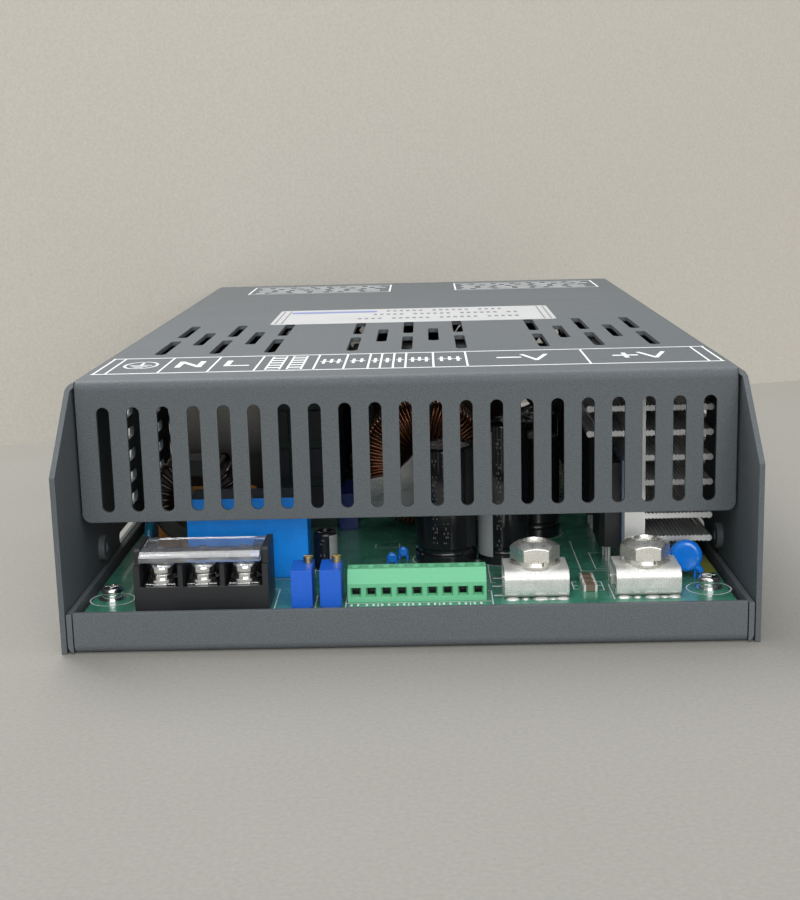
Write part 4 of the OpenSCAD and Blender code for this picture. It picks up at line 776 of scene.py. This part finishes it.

# %% [markdown]
# ### From a turn to a coil
# Each point of a turn goes a little further round than the one before it. An upright core has its axis along
# the case, so its points are tipped over. The wire takes the place of its solid, which stays for collision,
# hidden.

# %% Coil builder
def coil(name, node, centre, upright, core, wire, turns, start, end, slot="copper", layers=1):
    """Wire round a ring core: core is (inner radius, outer radius, height) and angles are in degrees."""
    paths = [one_turn(core, wire, layer) for layer in range(layers)]
    curve = bpy.data.curves.new(name, "CURVE")
    curve.dimensions = "3D"
    curve.bevel_depth = wire / 2 * MM
    curve.bevel_resolution = 3
    steps = len(paths[0])
    spline = curve.splines.new("POLY")
    spline.points.add(turns * steps - 1)
    for i in range(turns * steps):
        angle = math.radians(start + (end - start) * i / (turns * steps - 1))
        r, z = paths[i // steps % layers][i % steps]
        spot = Vector((r * math.cos(angle), r * math.sin(angle), z))
        if upright:
            spot = Vector((spot.x, -spot.z, spot.y))
        spline.points[i].co = (*(centre + spot * MM), 1.0)
    shaped = bpy.data.objects.new(name, curve)
    bpy.context.collection.objects.link(shaped)
    mesh = bpy.data.meshes.new_from_object(shaped.evaluated_get(bpy.context.evaluated_depsgraph_get()))
    bpy.data.objects.remove(shaped)
    mesh.materials.clear()
    mesh.materials.append(looks[slot])
    for polygon in mesh.polygons:
        polygon.use_smooth = True
    piece = bpy.data.objects.new(name, mesh)
    bpy.context.collection.objects.link(piece)
    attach(piece, "case")
    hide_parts(node)
    print(name, "turns", turns, "faces", len(mesh.polygons))


print("coil builder ready")

# %% [markdown]
# ### The three chokes
# The mains choke has two dark windings that leave the foot of its ring bare, the power-factor choke lies
# flat, and the output choke behind the flap stands upright. Their places could be typed in, but the cores
# are solids already, so each coil is centred on the box of its core.

# %% Chokes
def middle_low(node):
    """Middle of a node's footprint at its lowest height."""
    low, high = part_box(node)
    return Vector(((low.x + high.x) / 2, (low.y + high.y) / 2, low.z))


def middle_back(node):
    """Middle of an upright core, at its rear face."""
    low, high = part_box(node)
    return Vector(((low.x + high.x) / 2, high.y, (low.z + high.z) / 2))


for side, start, end in [("right", -26, 62), ("left", 118, 206)]:
    coil("common_mode_wire_" + side, "common_mode_winding", middle_back("common_mode_core"), upright=True,
         core=(6.9, 11.4, 10.0), wire=1.2, turns=7, start=start, end=end, slot="enamel_dark")
coil("boost_wire", "boost_choke_winding", middle_low("boost_choke_core"), upright=False,
     core=(9.0, 16.5, 15.0), wire=1.6, turns=26, start=6, end=354)
coil("output_choke_wire", "output_choke_winding", middle_back("output_choke_core"), upright=True,
     core=OUTPUT_CORE, wire=OUTPUT_WIRE, turns=92, start=98, end=442, layers=2)

# %% [markdown]
# ## Capacitor stripes
# A pale stripe down the sleeve marks the negative side of an electrolytic. It could be drawn in the sleeve's
# material, but each can is turned another way. A curved strip just outside the sleeve can face where it
# should, and small ones in columns give the faint specks of print.

# %% Stripes on the sleeves
STRIP_FACES = 8
STRIP_LIFT = 0.04
# Place, radius of the sleeve, the way the stripe faces and its width in degrees, its foot and top
STRIPES = [
    (OUTPUT_MIDDLE, 6.3, 212, 62, 2.0, 33.6),
    (OUTPUT_RIGHT, 6.4, 70, 34, 2.0, 25),
    ((33.0, 88.0), 8.0, 60, 34, 2.0, 28),
    (SMALL_CAN, 3.0, 322, 60, 0.6, 8.8),
    *[((-56, bulk_y), 15.0, 340, 24, 3.0, 40) for bulk_y in (110, 143, 176)],
]
stripe_ink = finish("stripe_ink", (0.36, 0.37, 0.38), rough=0.3, grain_mm=1.0, bump=0.03, Coat_Weight=0.3)


def sleeve_strip(bm, centre, radius, facing_deg, width_deg, z0, z1):
    """Curved strip on a can: facing_deg is its middle angle, where 270 looks at the front, and z0 and z1 are
    heights above the board."""
    cx, cy = centre
    rows = []
    for i in range(STRIP_FACES + 1):
        a = math.radians(facing_deg - width_deg / 2 + width_deg * i / STRIP_FACES)
        x, y = cx + (radius + STRIP_LIFT) * math.cos(a), cy + (radius + STRIP_LIFT) * math.sin(a)
        rows.append([bm.verts.new((x * MM, FRONT + y * MM, BOARD_TOP + z * MM)) for z in (z0, z1)])
    for one, two in zip(rows, rows[1:]):
        bm.faces.new((one[0], two[0], two[1], one[1]))


stripes = bmesh.new()
for stripe in STRIPES:
    sleeve_strip(stripes, *stripe)
new_piece("capacitor_stripes", stripes, stripe_ink)

# %% [markdown]
# ### Specks on the sleeves
# Columns of faint specks run up the sleeves that show below the flap. Each could be placed by hand, but
# there are over a hundred. Remainders of a running number switch them on and off, the same way on every run.

# %% Specks
# Place, radius of the sleeve, the way the column faces in degrees, its foot and top
COLUMNS = [
    (OUTPUT_LEFT, 7.75, 250, 6.0, 27.0),
    (OUTPUT_LEFT, 7.75, 270, 6.0, 27.0),
    (OUTPUT_MIDDLE, 6.3, 258, 4.0, 32.0),
    (SMALL_CAN, 3.0, 258, 1.5, 8.0),
]
SPECK_APART, SPECK_WIDE, SPECK_TALL, SPECK_TALLER = 26, 15, 0.35, 0.1
SPECK_STEP, SPECK_STEP_MORE, SPECK_SPACE = 0.9, 0.25, 1.6
speck_ink = finish("speck_ink", (0.15, 0.155, 0.16), rough=0.35, grain_mm=0.4, vary=0.3, edge_mm=0)

specks = bmesh.new()
row = 0
for centre, r, facing_deg, z, top in COLUMNS:
    while z < top:
        upper = z + SPECK_TALL + SPECK_TALLER * (row % 4)
        for side in (-1, 0, 1):
            if (row * 7 + side * 3) % 5 > 1:
                angle = facing_deg + side * SPECK_APART / r
                sleeve_strip(specks, centre, r, angle, SPECK_WIDE / r, z, upper)
        row += 1
        z += SPECK_STEP + SPECK_STEP_MORE * (row % 3) + (SPECK_SPACE if row % 7 == 0 else 0.0)
new_piece("sleeve_specks", specks, speck_ink)
print("rows of specks", row)

# %% [markdown]
# ## Solder
# The straps sit in bright solder along their front edge. A fillet could be swept along the edge, but real
# solder stands in uneven drops. So each strap gets a row of flattened half balls, cut off at the board.

# %% Solder fillets
# Along the strap from its middle, then width, depth and height
DROPS = [(-5.6, 1.8, 0.9, 0.55), (-2.6, 1.0, 0.7, 0.4), (0.9, 2.0, 1.0, 0.5), (3.6, 1.0, 0.7, 0.35),
         (5.9, 1.7, 0.9, 0.5)]
DROP_IN = 0.1
solder = finish("solder", (0.62, 0.62, 0.60), rough=0.42, metal=1.0, grain_mm=0.8, bump=0.4, smudge_mm=2,
                smudge=0.2)

drops = bmesh.new()
for node in ("dc_terminal_negative", "dc_terminal_positive"):
    low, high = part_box(node)
    middle = (low.x + high.x) / 2
    for offset, wide, deep, tall in DROPS:
        spot = Matrix.Translation((middle + offset * MM, low.y + DROP_IN * MM, BOARD_TOP))
        size = Matrix.Diagonal((wide * MM, deep * MM, tall * MM, 1.0))
        made = bmesh.ops.create_uvsphere(drops, u_segments=20, v_segments=10, radius=1.0, matrix=spot @ size)
        below = [v for v in made["verts"] if v.co.z < BOARD_TOP - 1e-6]
        bmesh.ops.delete(drops, geom=below, context="VERTS")
for face in drops.faces:
    face.smooth = True
new_piece("strap_solder", drops, solder)

# %% [markdown]
# ## Bare corner
# A corner of the board near the heat sink is bare of green resist and shows its yellow laminate. A mask in
# the board's material could do it, but its outline is four plain corners, so it is one face on the board.

# %% Bare corner of the board
BARE = [(69.9, 28.6), (73.8, 28.6), (73.8, 43.8), (73.0, 43.8)]
BARE_LIFT = 0.02
bare_board = finish("bare_board", (0.36, 0.37, 0.06), rough=0.45, grain_mm=0.6, bump=0.08)

corner = bmesh.new()
corner.faces.new([corner.verts.new(place(x, y, BOARD_TOP / MM + BARE_LIFT)) for x, y in BARE])
new_piece("bare_corner", corner, bare_board)

# %% [markdown]
# ## Stage
# A pale floor meets a pale wall close behind the object, at a slight angle. One curved backdrop is the usual
# way, but here the line between the two is in view. The wall's back is see-through, so that views from the
# rear aren't blocked, and it casts no shadow, so that the lamp behind it lights the floor.

# %% Floor and wall
FLOOR_COLOUR, WALL_COLOUR = (0.295, 0.285, 0.255), (0.595, 0.563, 0.497)
FLOOR_HALF = 3000
WALL_H = 210
WALL_LEFT, WALL_RIGHT = place(-161, 250, 0), place(179, 368.5, 0)
WALL_LONGER = 2.5


def stage_material(name, colour, one_sided=False):
    """Matte speckled surface; a one-sided one can be looked through from behind."""
    material = finish(name, colour, rough=0.8, grain_mm=1.0, bump=0.08, vary=0.05, edge_mm=0, smudge_mm=60)
    if one_sided:
        tree = material.node_tree
        mix = put(tree, "MixShader", {0: put(tree, "NewGeometry").outputs["Backfacing"],
                                      1: tree.nodes["Principled BSDF"].outputs[0],
                                      2: put(tree, "BsdfTransparent").outputs[0]})
        tree.links.new(mix.outputs[0], tree.nodes["Material Output"].inputs["Surface"])
    return material


def sheet(name, corners, material):
    """A flat four-cornered stage piece."""
    mesh = bpy.data.meshes.new(name)
    mesh.from_pydata([tuple(c) for c in corners], [], [(0, 1, 2, 3)])
    mesh.materials.append(material)
    piece = bpy.data.objects.new(name, mesh)
    bpy.context.collection.objects.link(piece)
    piece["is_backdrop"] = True
    return piece


along = (WALL_RIGHT - WALL_LEFT).normalized()
left, right = WALL_LEFT - along * WALL_LONGER, WALL_RIGHT + along * WALL_LONGER
up = Vector((0, 0, WALL_H * MM))
sheet("floor", [place(x * FLOOR_HALF, y * FLOOR_HALF, 0) for x, y in [(-1, -1), (1, -1), (1, 1), (-1, 1)]],
      stage_material("floor_paper", FLOOR_COLOUR))
wall = sheet("wall", [left, right, right + up, left + up],
             stage_material("wall_paper", WALL_COLOUR, one_sided=True))
wall.visible_shadow = False
print("wall from", [round(c, 3) for c in left], "to", [round(c, 3) for c in right])

# %% [markdown]
# ## Sky
# Soft light from all round fills the shadows. A plain grey world would do, but real rooms are brighter
# overhead than at the horizon, so the strength of this one grows with the height of the ray.

# %% World light
HORIZON, ZENITH = 0.34, 0.78
SKY_LOW, SKY_HIGH = 0.05, 0.95
SKY_TINT = (0.95, 0.97, 1.0, 1.0)
world = bpy.data.worlds.new("sky")
bpy.context.scene.world = world
world.use_nodes = True
sky_tree = world.node_tree
sky = sky_tree.nodes["Background"]
sky.inputs["Color"].default_value = SKY_TINT
height = put(sky_tree, "SeparateXYZ", {0: put(sky_tree, "TexCoord").outputs["Generated"]}).outputs["Z"]
sky_tree.links.new(ramp(sky_tree, height, SKY_LOW, SKY_HIGH, HORIZON, ZENITH), sky.inputs["Strength"])
print("sky from", HORIZON, "at the horizon to", ZENITH, "overhead")

# %% [markdown]
# ## Lamps
# A sun would cut hard shadows that the object doesn't show, so the lamps are wide panels. The one at the
# rear left lights the top and draws the bright band on the bevel of the clear cover. The wide one in front
# lights the flap and the terminals, and a weak tube overhead adds a little light above them.

# %% Light
TARGET = place(0, 100, 30)
# Name, place in millimetres, width and height in metres, watts
LAMPS = [
    ("ceiling_panel", (-320, 660, 1000), (0.7, 0.7), 9.8),
    ("front_panel", (150, -1300, 700), (1.2, 1.2), 15.2),
    ("ceiling_tube", (0, -160, 1100), (1.2, 0.08), 1.2),
]


def panel(name, at, aim, size, watts):
    """Soft lamp of a width and a height that looks at a point."""
    lamp = bpy.data.lights.new(name, "AREA")
    lamp.shape = "RECTANGLE"
    lamp.size, lamp.size_y = size
    lamp.energy = watts
    piece = bpy.data.objects.new(name, lamp)
    bpy.context.collection.objects.link(piece)
    piece.location = at
    piece.rotation_mode = "QUATERNION"
    piece.rotation_quaternion = (aim - at).to_track_quat("-Z", "Y")


for name, at, size, watts in LAMPS:
    panel(name, place(*at), TARGET, size, watts)

# %% [markdown]
# ## Sizes
# Dressing must not change how big the object is. The box of the solids was kept at the start, and the
# growth of the dressed object's box over it is printed along each axis.

# %% Sizes and finish
visual_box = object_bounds()
cad_size, visual_size = cad_box[1] - cad_box[0], visual_box[1] - visual_box[0]
print("grown by", [round((b - a) / MM, 3) for a, b in zip(cad_size, visual_size)], "mm")
